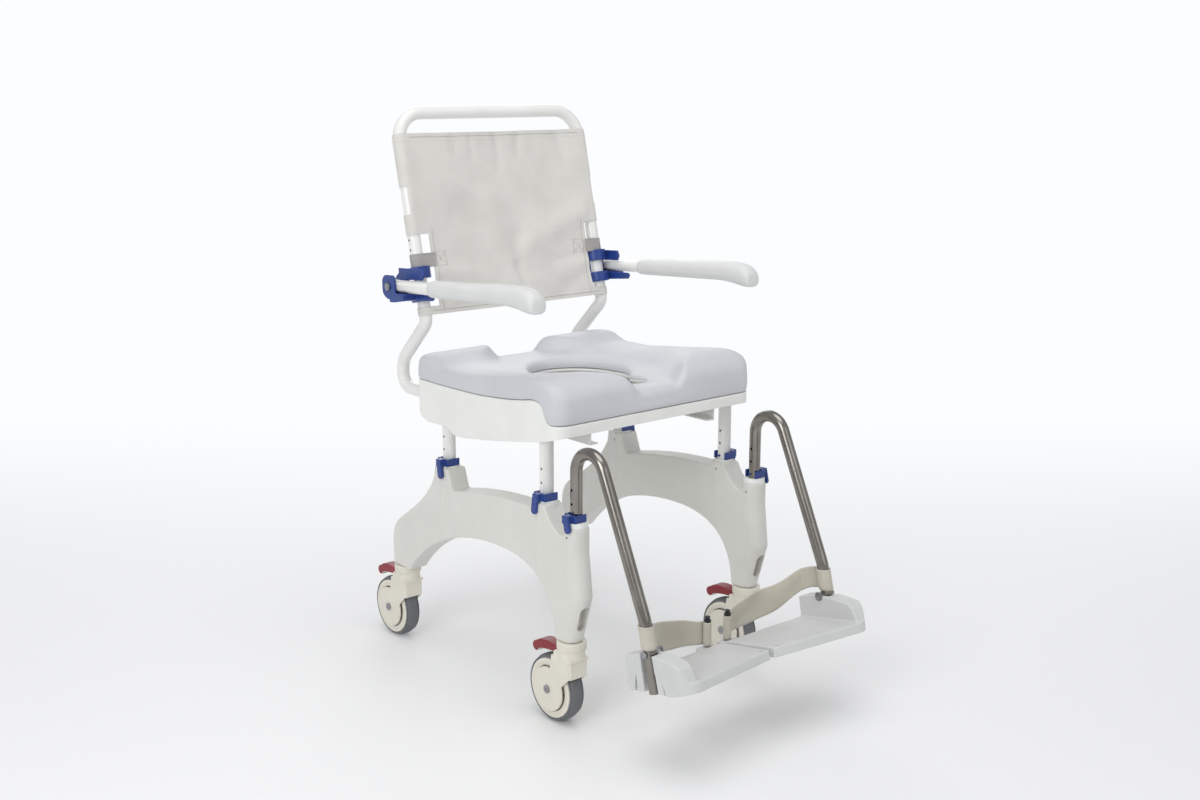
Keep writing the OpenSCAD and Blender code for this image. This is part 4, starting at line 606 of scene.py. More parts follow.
def makeSideFrames():
    x = chair["halfTrack"]
    half = sideFrame["thickness"] / 2
    tower = half + sideFrame["towerProud"]
    front, rear, hanger = chair["frontPostY"], chair["rearPostY"], chair["hangerY"]
    swivel = chair["frontSwivelY"]
    rim, receiver, legZ = chair["rimZ"], chair["receiverZ"], chair["legZ"]
    postFloor, receiverFloor = sideFrame["postFloorZ"], sideFrame["receiverFloorZ"]
    wall = sideFrame["socketWall"]
    nose = half - 0.6
    shoulderY = hanger - sideFrame["shoulderBack"]
    shoulderZ = legZ + (rim - legZ) * sideFrame["shoulderShare"]
    discs = [(hanger, receiver - tower), (shoulderY, shoulderZ), (swivel, legZ)]
    rings = [[(x + nose * math.cos(a * math.pi / 24), y + nose * math.sin(a * math.pi / 24), z + 0.5 * k)
              for a in range(48) for k in (0, 1)] for y, z in discs]
    parts = [prismAlongX(sideFrameOutline(), x - half, x + half),
             upright(x, front, postFloor - wall, rim, tower), upright(x, rear, postFloor - wall, rim, tower),
             upright(x, hanger, receiverFloor - wall, receiver, tower),
             hullPart(rings[0] + rings[1]), hullPart(rings[1] + rings[2])]
    left = roundedBody(joined("side_frame_left_moulding", parts), sideFrame["voxel"],
                       sideFrame["roundingPasses"])
    cuts = [upright(x, y, postFloor, rim + 14, sideFrame["postBore"]) for y in (front, rear)]
    cuts.append(upright(x, hanger, receiverFloor, receiver + 22, sideFrame["receiverBore"]))
    cuts += [upright(x, y, legZ - 15, sideFrame["stemTopZ"], sideFrame["stemBore"])
             for y in (swivel, chair["rearSwivelY"])]
    for y, top in ((front, rim), (rear, rim), (hanger, receiver)):
        cuts.append(rodAlongX(x - 40, x + 40, y, top - sideFrame["wallHoleDown"],
                              sideFrame["wallHole"] / 2, 24))
    wide, tall = sideFrame["ovalWidth"] / 2, sideFrame["ovalHeight"] / 2 - sideFrame["ovalWidth"] / 2
    oval = [(x + wide * math.cos(a), sideFrame["ovalZ"] + (tall if a < math.pi else -tall) + wide * math.sin(a))
            for a in [math.pi * k / 16 + (0.0001 if k < 16 else 0) for k in range(32)]]
    noseFront = shoulderY - nose
    cuts.append(prismAlongY(oval, noseFront - 20, noseFront + sideFrame["ovalDepth"]))
    for a, b in sideFrame["plugPlaces"]:
        cuts.append(rodAlongX(x + half - 3, x + half + 5, swivel + a * chair["wheelbase"],
                              legZ + b * (rim - legZ), sideFrame["plugHole"]))
    carved(left, cuts)
    right = shiftedCopy(left, "side_frame_right_moulding", flip=True)
    for side, piece in (("left", left), ("right", right)):
        finishPiece(piece, "frame", "undercarriage", ["side_frame_" + side])


makeSideFrames()
print("side frames ready")


# ---- Tubes, bolts and bushes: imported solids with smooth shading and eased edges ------
def easedCopy(node, finish, body, slot, edge=0.4):
    obj = reshaped(solidCopy(node + "_finished", node), lambda shape: bmesh.ops.dissolve_limit(
        shape, angle_limit=math.radians(1.5), verts=shape.verts, edges=shape.edges))
    if edge:
        bevel = obj.modifiers.new("eased edges", "BEVEL")
        bevel.width = edge * mm
        bevel.segments = 2
        bevel.limit_method = "ANGLE"
        bevel.angle_limit = math.radians(50)
        bakeModifiers(obj)
    return finishPiece(obj, finish, body, [node], 30)


def makeEasedParts():
    for row in (("castor_stems", "zinc", "undercarriage", "zinc_steel"),
                ("post_bushes", "collar", "undercarriage", "white_plastic"),
                ("frame_plugs", "frame", "undercarriage", "frame_plastic"),
                ("seat_frame", "paint", "seat", "white_paint", 0),
                ("pan_rails", "paint", "seat", "white_paint"),
                ("backrest_bolts", "zinc", "seat", "zinc_steel")):
        easedCopy(*row)
    for side in sideSigns:
        easedCopy("arm_pivot_" + side, "zinc", "seat", "zinc_steel")
        easedCopy("arm_tube_" + side, "paint", "arm_" + side, "white_paint", 0.3)
        easedCopy("footrest_bush_" + side, "collar", "footrest_bush_" + side, "white_plastic")
        easedCopy("footplate_bolt_" + side, "zinc", "footrest_" + side, "zinc_steel")
        easedCopy("heel_post_" + side, "black", "footplate_" + side, "black_plastic")
    for place in castorPlaces:
        easedCopy("castor_axle_" + place, "zinc", "castor_" + place, "zinc_steel")


makeEasedParts()
print("tubes, bolts and bushes ready")


# ---- Castors -----------------------------------------------------------------------
castor = {"wheelRadius": 62.5, "wheelWidth": 32.0, "tread": 7.0, "trail": 44.0, "voxel": 1.0, "passes": 4,
          "lineZ": (153.0, 158.5)}


def makeCastors():
    homeY = chair["frontSwivelY"]
    x = chair["halfTrack"]
    wheelCentre = (x, homeY + castor["trail"], castor["wheelRadius"])
    radius, half, rim = castor["wheelRadius"], castor["wheelWidth"] / 2, castor["wheelRadius"] - castor["tread"]
    housing = roundedBody(solidCopy("housing", "castor_housing_front_left"), castor["voxel"], castor["passes"])
    lines = []
    for z in castor["lineZ"]:  # two fine lines round the collar
        hoops = [[(px, py, z + up) for px, py in circle(x, homeY, r, 96)]
                 for r, up in ((26.3, -0.45), (29.0, -0.45), (29.0, 0.45), (26.3, 0.45))]
        lines.append(([hoop[k] for k in range(96) for hoop in hoops], gridFaces(96, 4, True, True)))
    carved(housing, lines)
    tread = [(rim + 0.2, -half + 3.0), (rim + 2.2, -half + 0.6), (rim + 3.6, -half + 1.2)]
    for k in range(15):  # crowned tread
        u = -1 + 2 * k / 14
        tread.append((radius - 5.2 * abs(u) ** 3.2, u * (half - 1.6)))
    tread += [(rim + 3.6, half - 1.2), (rim + 2.2, half - 0.6), (rim + 0.2, half - 3.0)]
    tyre = turnedRing("tyre", tread, wheelCentre, 160)
    sideProfile = [(4.3, 16.6), (9.5, 16.6), (10.4, 15.8), (11.5, 10.0), (14.0, 7.2), (38.0, 7.2), (40.5, 8.0),
                   (42.0, 14.6), (42.8, 15.6), (45.5, 16.0), (47.6, 16.0), (48.0, 15.4), (48.8, 15.4), (49.2, 16.0),
                   (53.6, 16.0), (54.8, 15.4), (rim, 13.6)]
    profile = sideProfile + [(r, -px) for r, px in reversed(sideProfile)]
    hub = turnedRing("hub", profile, wheelCentre, 160)
    pedal = roundedBody(solidCopy("pedal", "castor_pedal_front_left"), 0.9, 6)
    for finish in ("red", "cream"):
        pedal.data.materials.append(finishes[finish])
    for face in pedal.data.polygons:
        face.material_index = 1 if face.normal.z < -0.25 else 0
    for place in castorPlaces:
        end, side = place.split("_")
        dy = 0.0 if end == "front" else chair["wheelbase"]
        flip = side == "right"
        made = [(housing, "castor_housing_", "castor_", "_moulding", "cream", "cream_plastic"),
                (tyre, "castor_tyre_", "wheel_", "_moulded", "rubber", "tyre_rubber"),
                (hub, "castor_hub_", "wheel_", "_moulded", "cream", "cream_plastic"),
                (pedal, "castor_pedal_", "pedal_", "_moulding", "red", "red_plastic")]
        for source, node, body, tail, finish, slot in made:
            piece = shiftedCopy(source, node + place + tail, 0.0, dy, flip)
            finishPiece(piece, finish, body + place, [node + place])
    for source in (housing, tyre, hub, pedal):
        bpy.data.objects.remove(source)


makeCastors()
print("castors ready")


# ---- Seat shell and pad ----------------------------------------------------------------
seat = {"padHeight": 48.0, "roll": 26.0, "openingHalfWidth": 92.0, "openingHalfLength": 452 * 0.235,
        "slotHalfWidth": 42.0, "slotFrontShare": 0.875, "openingShare": 0.48, "cornerRadius": 30.0,
        "skirtHeight": 100.0, "shellWall": 4.0, "innerHeightShare": 0.42, "railZ": 538.0, "tubeHole": 13.2,
        "footZ": 553.3}
seamShares = smoothTable([[-0.02, 0], [0.22, -0.01], [0.43, 0], [0.64, 0.06], [0.78, 0.14], [0.85, 0.19],
                          [0.893, 0.16], [0.915, 0.04], [0.935, -0.15], [0.96, -0.19], [1.02, -0.19]])
skirtShares = smoothTable([[-0.02, -0.45], [0, -0.45], [0.03, -0.6], [0.06, -0.73], [0.12, -0.8], [0.23, -0.79],
                           [0.32, -0.91], [0.5, -0.82], [0.7, -0.68], [0.88, -0.53], [0.93, -0.48], [1.02, -0.37]])
rimShares = smoothTable([[0, 0.82], [0.04, 1], [0.1, 0.96], [0.15, 0.8], [0.21, 0.67], [0.34, 0.67], [0.48, 0.8],
                         [0.61, 0.93], [0.74, 1.09], [0.87, 1.2], [0.95, 1.08], [1, 0.8]])
padCentreY = chair["seatRearY"] - chair["seatDepth"] * seat["openingShare"]


def depthShare(y):
    return (chair["seatRearY"] - y) / chair["seatDepth"]


def seamHeight(y):
    return chair["seamZ"] + seat["skirtHeight"] * seamShares(depthShare(y))


def crownHeight(x, y):
    share = depthShare(y)
    rim = chair["seamZ"] + seat["padHeight"] * rimShares(share)
    low = chair["seamZ"] + seat["padHeight"] * seat["innerHeightShare"]
    middle = smoothStep(1 - abs(2 * share - 1) ** 2)
    start = chair["seatWidth"] * (0.085 + (0.2 - 0.085) * middle)
    end = chair["seatWidth"] * (0.15 + (0.4 - 0.15) * middle)
    return low + (rim - low) * smoothStep((abs(x) - start) / (end - start))


def seatOutline(radius, spacing):
    halfW, halfD = chair["seatWidth"] / 2, chair["seatDepth"] / 2
    midY = chair["seatRearY"] - halfD
    out = []
    for k, (sx, sy) in enumerate(((1, 1), (-1, 1), (-1, -1), (1, -1))):
        cx, cy = sx * (halfW - radius), midY + sy * (halfD - radius)
        for i in range(13):
            a = math.pi / 2 * (k + i / 12)
            out.append((cx + radius * math.cos(a), cy + radius * math.sin(a)))
        nx, ny = ((-1, 1), (-1, -1), (1, -1), (1, 1))[k]
        b = math.pi / 2 * (k + 1)
        end = (nx * (halfW - radius) + radius * math.cos(b),
               midY + ny * (halfD - radius) + radius * math.sin(b))
        pieces = int(math.dist(out[-1], end) / spacing)
        here = out[-1]
        out += [(here[0] + (end[0] - here[0]) * i / pieces, here[1] + (end[1] - here[1]) * i / pieces)
                for i in range(1, pieces)]
    return out


def seatSectors(spacing):
    # For each place on the outline: direction from the opening's middle, outer and inner distance
    out = []
    reach = padCentreY - (chair["seatRearY"] - chair["seatDepth"] * seat["slotFrontShare"])
    for x, y in seatOutline(seat["cornerRadius"], spacing):
        outer = math.hypot(x, y - padCentreY)
        dx, dy = x / outer, (y - padCentreY) / outer
        oval = 1 / math.hypot(dx / seat["openingHalfWidth"], dy / seat["openingHalfLength"])
        slot = ((abs(dx) / seat["slotHalfWidth"]) ** 4 + (abs(dy) / reach) ** 4) ** -0.25 if dy < 0 else 0.0
        out.append((dx, dy, outer, (oval ** 12 + slot ** 12) ** (1 / 12) - 0.5))
    return out


def makeSeatPad():
    sectors = seatSectors(4.0)
    roll = seat["roll"]
    outerRoll = smoothTable([[0, 0, 0.9], [0.2, 0.03, 0.55], [0.45, 0.14, 0.27], [0.7, 0.38, 0.08],
                             [1, 0.8, 0]])
    innerRoll = smoothTable([[0, 0.45, 0.03], [0.4, 0.15, 0.14], [0.7, 0.02, 0.36], [1, 0, 0.8]])
    rings = []

    def ring(distance, height):
        row = []
        for dx, dy, outer, inner in sectors:
            r = distance(outer, inner, abs(dx * dy))
            x, y = dx * r, padCentreY + dy * r
            row.append((x, y, height(x, y)))
        rings.append(row)

    for inset, lift in ((10, 0.5), (1.6, 0.6), (0.4, 1.4)):
        ring(lambda o, i, c, a=inset: o - a, lambda x, y, b=lift: seamHeight(y) + b)
    for k in range(5):
        share = (k + 0.5) / 5
        ring(lambda o, i, c, s=share: o + 1.2 * math.sin(math.pi * s),
             lambda x, y, s=share: seamHeight(y) + 2.0 + s * max(
                 2.0, crownHeight(x, y) - roll * 0.9 - seamHeight(y) - 2.0))
    for k in range(13):
        inset, drop = outerRoll(k / 12)
        ring(lambda o, i, c, a=inset: o - roll * a * (1 + 0.4 * (2 * c) ** 4),
             lambda x, y, b=drop: max(seamHeight(y) + 4.0, crownHeight(x, y) - roll * b))
    for k in range(1, 22):
        share = k / 22
        ring(lambda o, i, c, s=share: o - roll * 0.8 * (1 + 0.4 * (2 * c) ** 4)
             + (i + roll * 0.45 - o + roll * 0.8 * (1 + 0.4 * (2 * c) ** 4)) * s,
             crownHeight)
    for k in range(9):
        inset, drop = innerRoll(k / 8)
        ring(lambda o, i, c, a=inset: i + roll * a,
             lambda x, y, b=drop: max(seamHeight(y) + 1.5, crownHeight(x, y) - roll * b))
    ring(lambda o, i, c: i, lambda x, y: seamHeight(y) + 0.6)
    pad = newPiece("seat_pad_foam", [p for row in rings for p in row],
                   gridFaces(len(rings), len(sectors), True, True))
    outwardNormals(pad)
    # Relax the rings a little, so that the crests run softly into each other
    relax = pad.modifiers.new("relax", "SMOOTH")
    relax.factor, relax.iterations = 0.5, 3
    bakeModifiers(pad)
    finishPiece(pad, "pad", "seat", ["seat_pad"], 60)


def makeSeatShell():
    sectors = seatSectors(4.5)
    rows = []

    def row(distance, height):
        out = []
        for dx, dy, outer, inner in sectors:
            r = distance(outer, inner)
            x, y = dx * r, padCentreY + dy * r
            out.append((x, y, height(y)))
        rows.append(out)

    for k in range(9):
        row(lambda o, i, s=k / 8: i + 0.6 + (o - 3.0 - i - 0.6) * s, seamHeight)
    row(lambda o, i: o - 1.0, lambda y: seamHeight(y) - 0.4)
    row(lambda o, i: o, lambda y: seamHeight(y) - 1.6)
    for k in range(1, 15):
        row(lambda o, i: o, lambda y, s=k / 14: seamHeight(y) - 1.6
            + (chair["seamZ"] + seat["skirtHeight"] * skirtShares(depthShare(y)) - seamHeight(y) + 1.6) * s)
    shell = newPiece("seat_shell_moulding", [p for r in rows for p in r],
                     gridFaces(len(rows), len(sectors), True))
    outwardNormals(shell)
    wall = shell.modifiers.new("wall", "SOLIDIFY")
    wall.thickness = seat["shellWall"] * mm
    wall.offset = -1.0
    edge = shell.modifiers.new("edge", "BEVEL")
    edge.width, edge.segments, edge.limit_method, edge.angle_limit = 1.0 * mm, 2, "ANGLE", math.radians(60)
    bakeModifiers(shell)
    rear = chair["seatRearY"]
    carved(shell, [prismAlongY(circle(sign * chair["halfTrack"], seat["railZ"], seat["tubeHole"], 48),
                               rear - 12, rear + 8) for sign in (-1, 1)])
    finishPiece(shell, "shell", "seat", ["seat_base"])
    feet = []
    for sign in (-1, 1):
        for share in (0.1, 0.45, 0.72):
            y = rear - chair["seatDepth"] * share
            square = [(sign * chair["halfTrack"] + 13 * sx, y + 15 * sy)
                      for sx, sy in ((-1, -1), (1, -1), (1, 1), (-1, 1))]
            feet.append(prismAlongZ(square, seat["footZ"], seamHeight(y) - seat["shellWall"] - 0.2))
    blocks = joined("seat_shell_feet", feet)
    soft = blocks.modifiers.new("edge", "BEVEL")
    soft.width, soft.segments = 1.5 * mm, 3
    finishPiece(bakeModifiers(blocks), "shell", "seat")


makeSeatPad()
makeSeatShell()
print("seat ready")


# ---- Backrest tube and cover ---------------------------------------------------------------
back = {"tubeRadius": 12.5, "wall": 1.5, "bendRadius": 55.0, "sleeveTurn": 235.0, "sag": 16.0, "cloth": 1.2,
        "hem": 15.0, "windowIn": 28.0, "windowLow": 706.0, "strapLow": 786.0, "strapHigh": 802.0,
        "windowHigh": 842.0, "stepLow": 880.0, "stepHigh": 933.0, "webbing": (780.0, 806.0)}
leanAngle = math.radians(chair["lean"])


def uprightY(z):
    return chair["backLowY"] + (z - chair["coverLowZ"]) * math.tan(leanAngle)


def makeBackrestTube():
    x, railEnd = chair["halfTrack"], chair["seatRearY"] - 29.0
    backY, railZ, kneeZ, topZ = chair["backLowY"] + 87, seat["railZ"], 677, chair["pushBarZ"]
    half = [(x, railEnd - 40, railZ), (x, backY, railZ), (x, backY, 590),
            (x, uprightY(kneeZ), kneeZ), (x, uprightY(topZ), topZ)]
    path = half + [(-a, b, c) for a, b, c in reversed(half)]
    radii = [28, 45, 24, 55, 55, 24, 45, 28]
    tube = sweptTube("backrest_tube_painted", cornerArcs(path, radii, 3.0), back["tubeRadius"],
                     back["tubeRadius"] - back["wall"])
    holes = []
    for out in (-x - 25, x):
        for z in (796, 814.5, 833):
            holes.append(rodAlongX(out, out + 25, uprightY(z), z, 2.5, 24))
    finishPiece(carved(tube, holes), "paint", "seat", ["backrest_tube"], 30)


coverFolds = [  # x and z of both ends, width and depth in millimetres
    (0, 1024, 10, 968, 9, 4.2), (56, 1024, 50, 978, 10, 3.6), (-62, 1024, -58, 985, 9, 3.4),
    (-105, 1022, -98, 992, 10, 2.8), (152, 1024, 172, 972, 13, 4.6), (-150, 1020, -120, 985, 14, 2.4),
    (24, 820, 18, 765, 18, 4.0), (18, 765, 34, 716, 11, 5.5), (205, 868, 60, 812, 24, -5.0),
    (60, 812, 10, 780, 20, -3.0), (-200, 775, -40, 752, 16, -3.6), (204, 780, 90, 768, 14, 2.6),
    (190, 742, 110, 702, 18, 4.2), (-40, 985, 60, 905, 30, 2.4), (-130, 880, -30, 850, 30, 2.2)]


def foldDepth(x, z):
    total = 0.0
    for x0, z0, x1, z1, width, depth in coverFolds:
        dx, dz = x1 - x0, z1 - z0
        t = min(1.0, max(0.0, ((x - x0) * dx + (z - z0) * dz) / (dx * dx + dz * dz)))
        away = math.hypot(x - x0 - dx * t, z - z0 - dz * t)
        total += (depth * math.exp(-(away / width) ** 2)
                  * (0.35 + 0.65 * math.sin(math.pi * min(1, t * 0.7 + 0.3))))
    return total


def coverPlan(share, z):
    # The sheet's middle line at one height: place along the cloth, x, and distance behind the uprights
    turn = math.radians(back["sleeveTurn"])
    bend = back["bendRadius"]
    past = max(0.0, (z - chair["pushBarZ"]) / math.cos(leanAngle) + bend)
    r = (back["tubeRadius"] + 0.3) / math.sqrt(1 - (past / bend) ** 2) + back["cloth"] / 2
    x = chair["halfTrack"] - bend + math.sqrt(bend ** 2 - past ** 2)
    wrap = [(x + r * math.sin(turn * (1 - k / 28)), -r * math.cos(turn * (1 - k / 28))) for k in range(29)]
    sag = back["sag"] * (0.35 + 0.65 * math.sin(math.pi * share))
    span = []
    for k in range(1, 96):
        px = x * (1 - 2 * k / 96)
        calm = smoothStep((x - abs(px)) / 26.0)
        ripple = 1.4 * math.sin(px / 23.0 + 2.2 * math.sin(z / 90.0)) * math.sin(z / 61.0 + px / 140.0)
        span.append((px, -r + sag * math.sin(math.pi * k / 96) + calm * (foldDepth(px, z) + ripple)))
    line = wrap + span + [(-a, b) for a, b in reversed(wrap)]
    out, run = [], 0.0
    for i, p in enumerate(line):
        run += math.dist(p, line[i - 1]) if i else 0.0
        out.append((run, p[0], p[1]))
    return out


def markEdges(obj, distances):
    edge = obj.data.attributes.new("edge", "FLOAT", "POINT")
    for i, value in enumerate(distances):
        edge.data[i].value = value


def flatMap(obj, uvs):
    layer = obj.data.uv_layers.new(name="flat")
    for loop in obj.data.loops:
        layer.data[loop.index].uv = uvs[loop.vertex_index]


def thickened(obj, thickness):
    wall = obj.modifiers.new("cloth", "SOLIDIFY")
    wall.thickness = thickness * mm
    wall.offset = 0.0
    return bakeModifiers(obj)


def leaned(x, behind, z):
    return x, uprightY(z) + behind * math.cos(leanAngle), z - behind * math.sin(leanAngle)


def makeCover():
    marks = [chair["coverLowZ"], back["windowLow"], back["strapLow"], back["strapHigh"], back["windowHigh"],
             back["stepLow"], back["stepHigh"], chair["coverHighZ"]]
    heights = [marks[0]]
    for a, b in zip(marks, marks[1:]):
        pieces = max(1, round((b - a) / 3.4))
        heights += [a + (b - a) * k / pieces for k in range(1, pieces + 1)]
    span = chair["coverHighZ"] - chair["coverLowZ"]
    rows = [coverPlan((z - chair["coverLowZ"]) / span, z) for z in heights]
    columns = len(rows[0])
    edgeX = chair["halfTrack"] - back["windowIn"]
    outX = chair["halfTrack"] + back["tubeRadius"] / 2
    points, uvs, distances = [], [], []
    for z, row in zip(heights, rows):
        middle = row[columns // 2][0]
        for run, x, behind in row:
            points.append(leaned(x, behind, z))
            uvs.append(((run - middle) * mm, z / math.cos(leanAngle) * mm))
            near = min(z - chair["coverLowZ"], chair["coverHighZ"] - z)
            if back["windowLow"] - back["hem"] < z < back["windowHigh"] + back["hem"]:
                near = min(near, abs(edgeX - abs(x)) if abs(x) < edgeX else 99.0)
            distances.append(near)
    faces = []
    for face in gridFaces(len(heights), columns):
        corners = [points[i] for i in face]
        z = sum(heights[i // columns] for i in face) / 4
        x = sum(abs(p[0]) for p in corners) / 4
        inWindow = x > edgeX - 0.5 and (back["windowLow"] < z < back["strapLow"]
                                        or back["strapLow"] < z < back["windowHigh"])
        inStep = x > outX and back["stepLow"] < z < back["stepHigh"]
        if not (inWindow or inStep):
            faces.append(face)
    cover = newPiece("backrest_cover_textile", points, faces)
    flatMap(cover, uvs)
    markEdges(cover, distances)
    reshaped(cover, lambda shape: bmesh.ops.delete(
        shape, geom=[v for v in shape.verts if not v.link_faces], context="VERTS"))
    area = sum(face.area for face in cover.data.polygons)
    thickened(cover, back["cloth"])
    finishPiece(cover, "cover", "seat", ["backrest_cover"], 60)
    width = rows[len(rows) // 2][-1][0] * mm
    length = span / math.cos(leanAngle) * mm
    print("cover: cut", round(width, 3), "by", round(length, 3), "m, area", round(area, 4))
    return cover, (width, length), area


def makeStrapLoops():
    # Webbing round each upright, in the opening of the cover's sleeve. Its grey is painted shade on cloth that is
    # beige like the cover.
    loops = []
    for side, sign in sideSigns.items():
        r = back["tubeRadius"] + 1.0
        line = [(chair["halfTrack"] - 32.0, -r - 1.0)]
        line += [(chair["halfTrack"] + r * math.sin(a), -r * math.cos(a))
                 for a in [math.radians(-12 + 204 * k / 32) for k in range(33)]]
        line += [(chair["halfTrack"] - 32.0, -r + 5.0)]
        points, uvs, distances = [], [], []
        low, high = back["webbing"]
        for k in range(7):
            z = low + (high - low) * k / 6
            run = 0.0
            for i, (x, behind) in enumerate(line):
                run += math.dist(line[i], line[i - 1]) if i else 0.0
                points.append(leaned(sign * x, behind, z))
                uvs.append((run * mm, z * mm))
                distances.append(min(z - low, high - z))
        loop = newPiece("backrest_strap_" + side, points, gridFaces(7, len(line)))
        flatMap(loop, uvs)
        markEdges(loop, distances)
        outwardNormals(loop)
        thickened(loop, 1.2)
        finishPiece(loop, "webbing", "seat")
        loops.append(loop)
    return loops


def clothPoint(x, z):
    share = (z - chair["coverLowZ"]) / (chair["coverHighZ"] - chair["coverLowZ"])
    plan = coverPlan(share, z)
    low = min(range(len(plan)), key=lambda i: abs(plan[i][1] - x) if abs(plan[i][1]) < 219 else 999)
    return leaned(plan[low][1], plan[low][2] - 1.1, z)


def stitchTree():
    # Geometry Nodes: a thread stitch at equal steps along a line, turned to follow it
    tree = bpy.data.node_groups.new("stitchRow", "GeometryNodeTree")
    for name, kind, out in (("Line", "NodeSocketGeometry", "INPUT"), ("Step", "NodeSocketFloat", "INPUT"),
                            ("Stitch Length", "NodeSocketFloat", "INPUT"),
                            ("Thread Radius", "NodeSocketFloat", "INPUT"),
                            ("Thread", "NodeSocketMaterial", "INPUT"),
                            ("Stitches", "NodeSocketGeometry", "OUTPUT")):
        tree.interface.new_socket(name, in_out=out, socket_type=kind)
    given = addNode(tree, "NodeGroupInput").outputs
    curve = addNode(tree, "GeometryNodeMeshToCurve", {"Mesh": given["Line"]}).outputs["Curve"]
    steps = addNode(tree, "GeometryNodeResampleCurve", {"Curve": curve, "Length": given["Step"]}, mode="LENGTH")
    tangent = addNode(tree, "GeometryNodeInputTangent").outputs["Tangent"]
    turn = addNode(tree, "FunctionNodeAlignRotationToVector", {"Vector": tangent}, axis="Z").outputs["Rotation"]
    thread = addNode(tree, "GeometryNodeMeshCylinder", {"Vertices": 6, "Radius": given["Thread Radius"],
                                                        "Depth": given["Stitch Length"]}).outputs["Mesh"]
    placed = addNode(tree, "GeometryNodeInstanceOnPoints", {
        "Points": steps.outputs["Curve"], "Instance": thread, "Rotation": turn}).outputs["Instances"]
    real = addNode(tree, "GeometryNodeRealizeInstances", {"Geometry": placed}).outputs["Geometry"]
    done = addNode(tree, "GeometryNodeSetMaterial", {"Geometry": real, "Material": given["Thread"]})
    addNode(tree, "NodeGroupOutput", {"Stitches": done.outputs["Geometry"]})
    return tree


stitching = {"step": 4.0, "length": 2.7, "radius": 0.28}


def stitchedLines(name, tree, lines, finish):
    points, edges = [], []
    for line in lines:
        edges += [(len(points) + i, len(points) + i + 1) for i in range(len(line) - 1)]
        points += line
    obj = newPiece(name, points, [], edges)
    nodes = obj.modifiers.new("stitches", "NODES")
    nodes.node_group = tree
    values = {"Step": stitching["step"] * mm, "Stitch Length": stitching["length"] * mm,
              "Thread Radius": stitching["radius"] * mm, "Thread": finishes[finish]}
    for item in tree.interface.items_tree:
        if item.in_out == "INPUT" and item.name in values:
            nodes[item.identifier] = values[item.name]
    return bakeModifiers(obj)


def makeCoverStitches(tree):
    lines = []
    for z in (chair["coverLowZ"] + 7.5, chair["coverHighZ"] - 7.5):
        lines.append([clothPoint(x, z) for x in range(-214, 215, 4)])
    for sign in (-1, 1):
        # Square patch with a cross, where the strap is sewn on
        cx, cz, h = sign * 172.0, 794.0, 13.0
        square = [(-h, -h), (h, -h), (h, h), (-h, h), (-h, -h)]
        for (a, b), (c, d) in zip(square, square[1:]):
            lines.append([clothPoint(cx + a + (c - a) * k / 6, cz + b + (d - b) * k / 6) for k in range(7)])
        for s in (-1, 1):
            lines.append([clothPoint(cx - h + 2 * h * k / 8, cz + s * (-h + 2 * h * k / 8)) for k in range(9)])
        x = sign * (chair["halfTrack"] - back["windowIn"] - 7.0)
        lines.append([clothPoint(x, z) for z in range(694, 850, 4)])
    stitches = stitchedLines("backrest_stitches", tree, lines, "webbing")
    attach(stitches, "seat")
    return stitches


makeBackrestTube()
coverPiece, coverCut, coverArea = makeCover()
coverLoops = makeStrapLoops()
stitchRow = stitchTree()
coverStitches = makeCoverStitches(stitchRow)
print("backrest ready")


# ---- Arms: brackets, pads ---------------------------------------------------------------------
armPad = {"length": 322.0, "width": 41.0, "armLength": 452.0, "squareness": 2.6, "bore": 12.1}
armPadShares = smoothTable([
    [0, 0.37, -0.35, 0.4], [0.03, 0.4, -0.38, 0.46], [0.4, 0.44, -0.38, 0.5], [0.72, 0.52, -0.38, 0.5],
    [0.84, 0.52, -0.46, 0.5], [0.91, 0.46, -0.57, 0.5], [0.955, 0.36, -0.62, 0.48],
    [0.985, 0.18, -0.62, 0.44], [1, -0.02, -0.6, 0.36]])


def onArm(sign, x, y, z):
    a = math.radians(chair["armRise"])
    return (sign * x, chair["armPivotY"] + y * math.cos(a) + z * math.sin(a),
            chair["armPivotZ"] - y * math.sin(a) + z * math.cos(a))


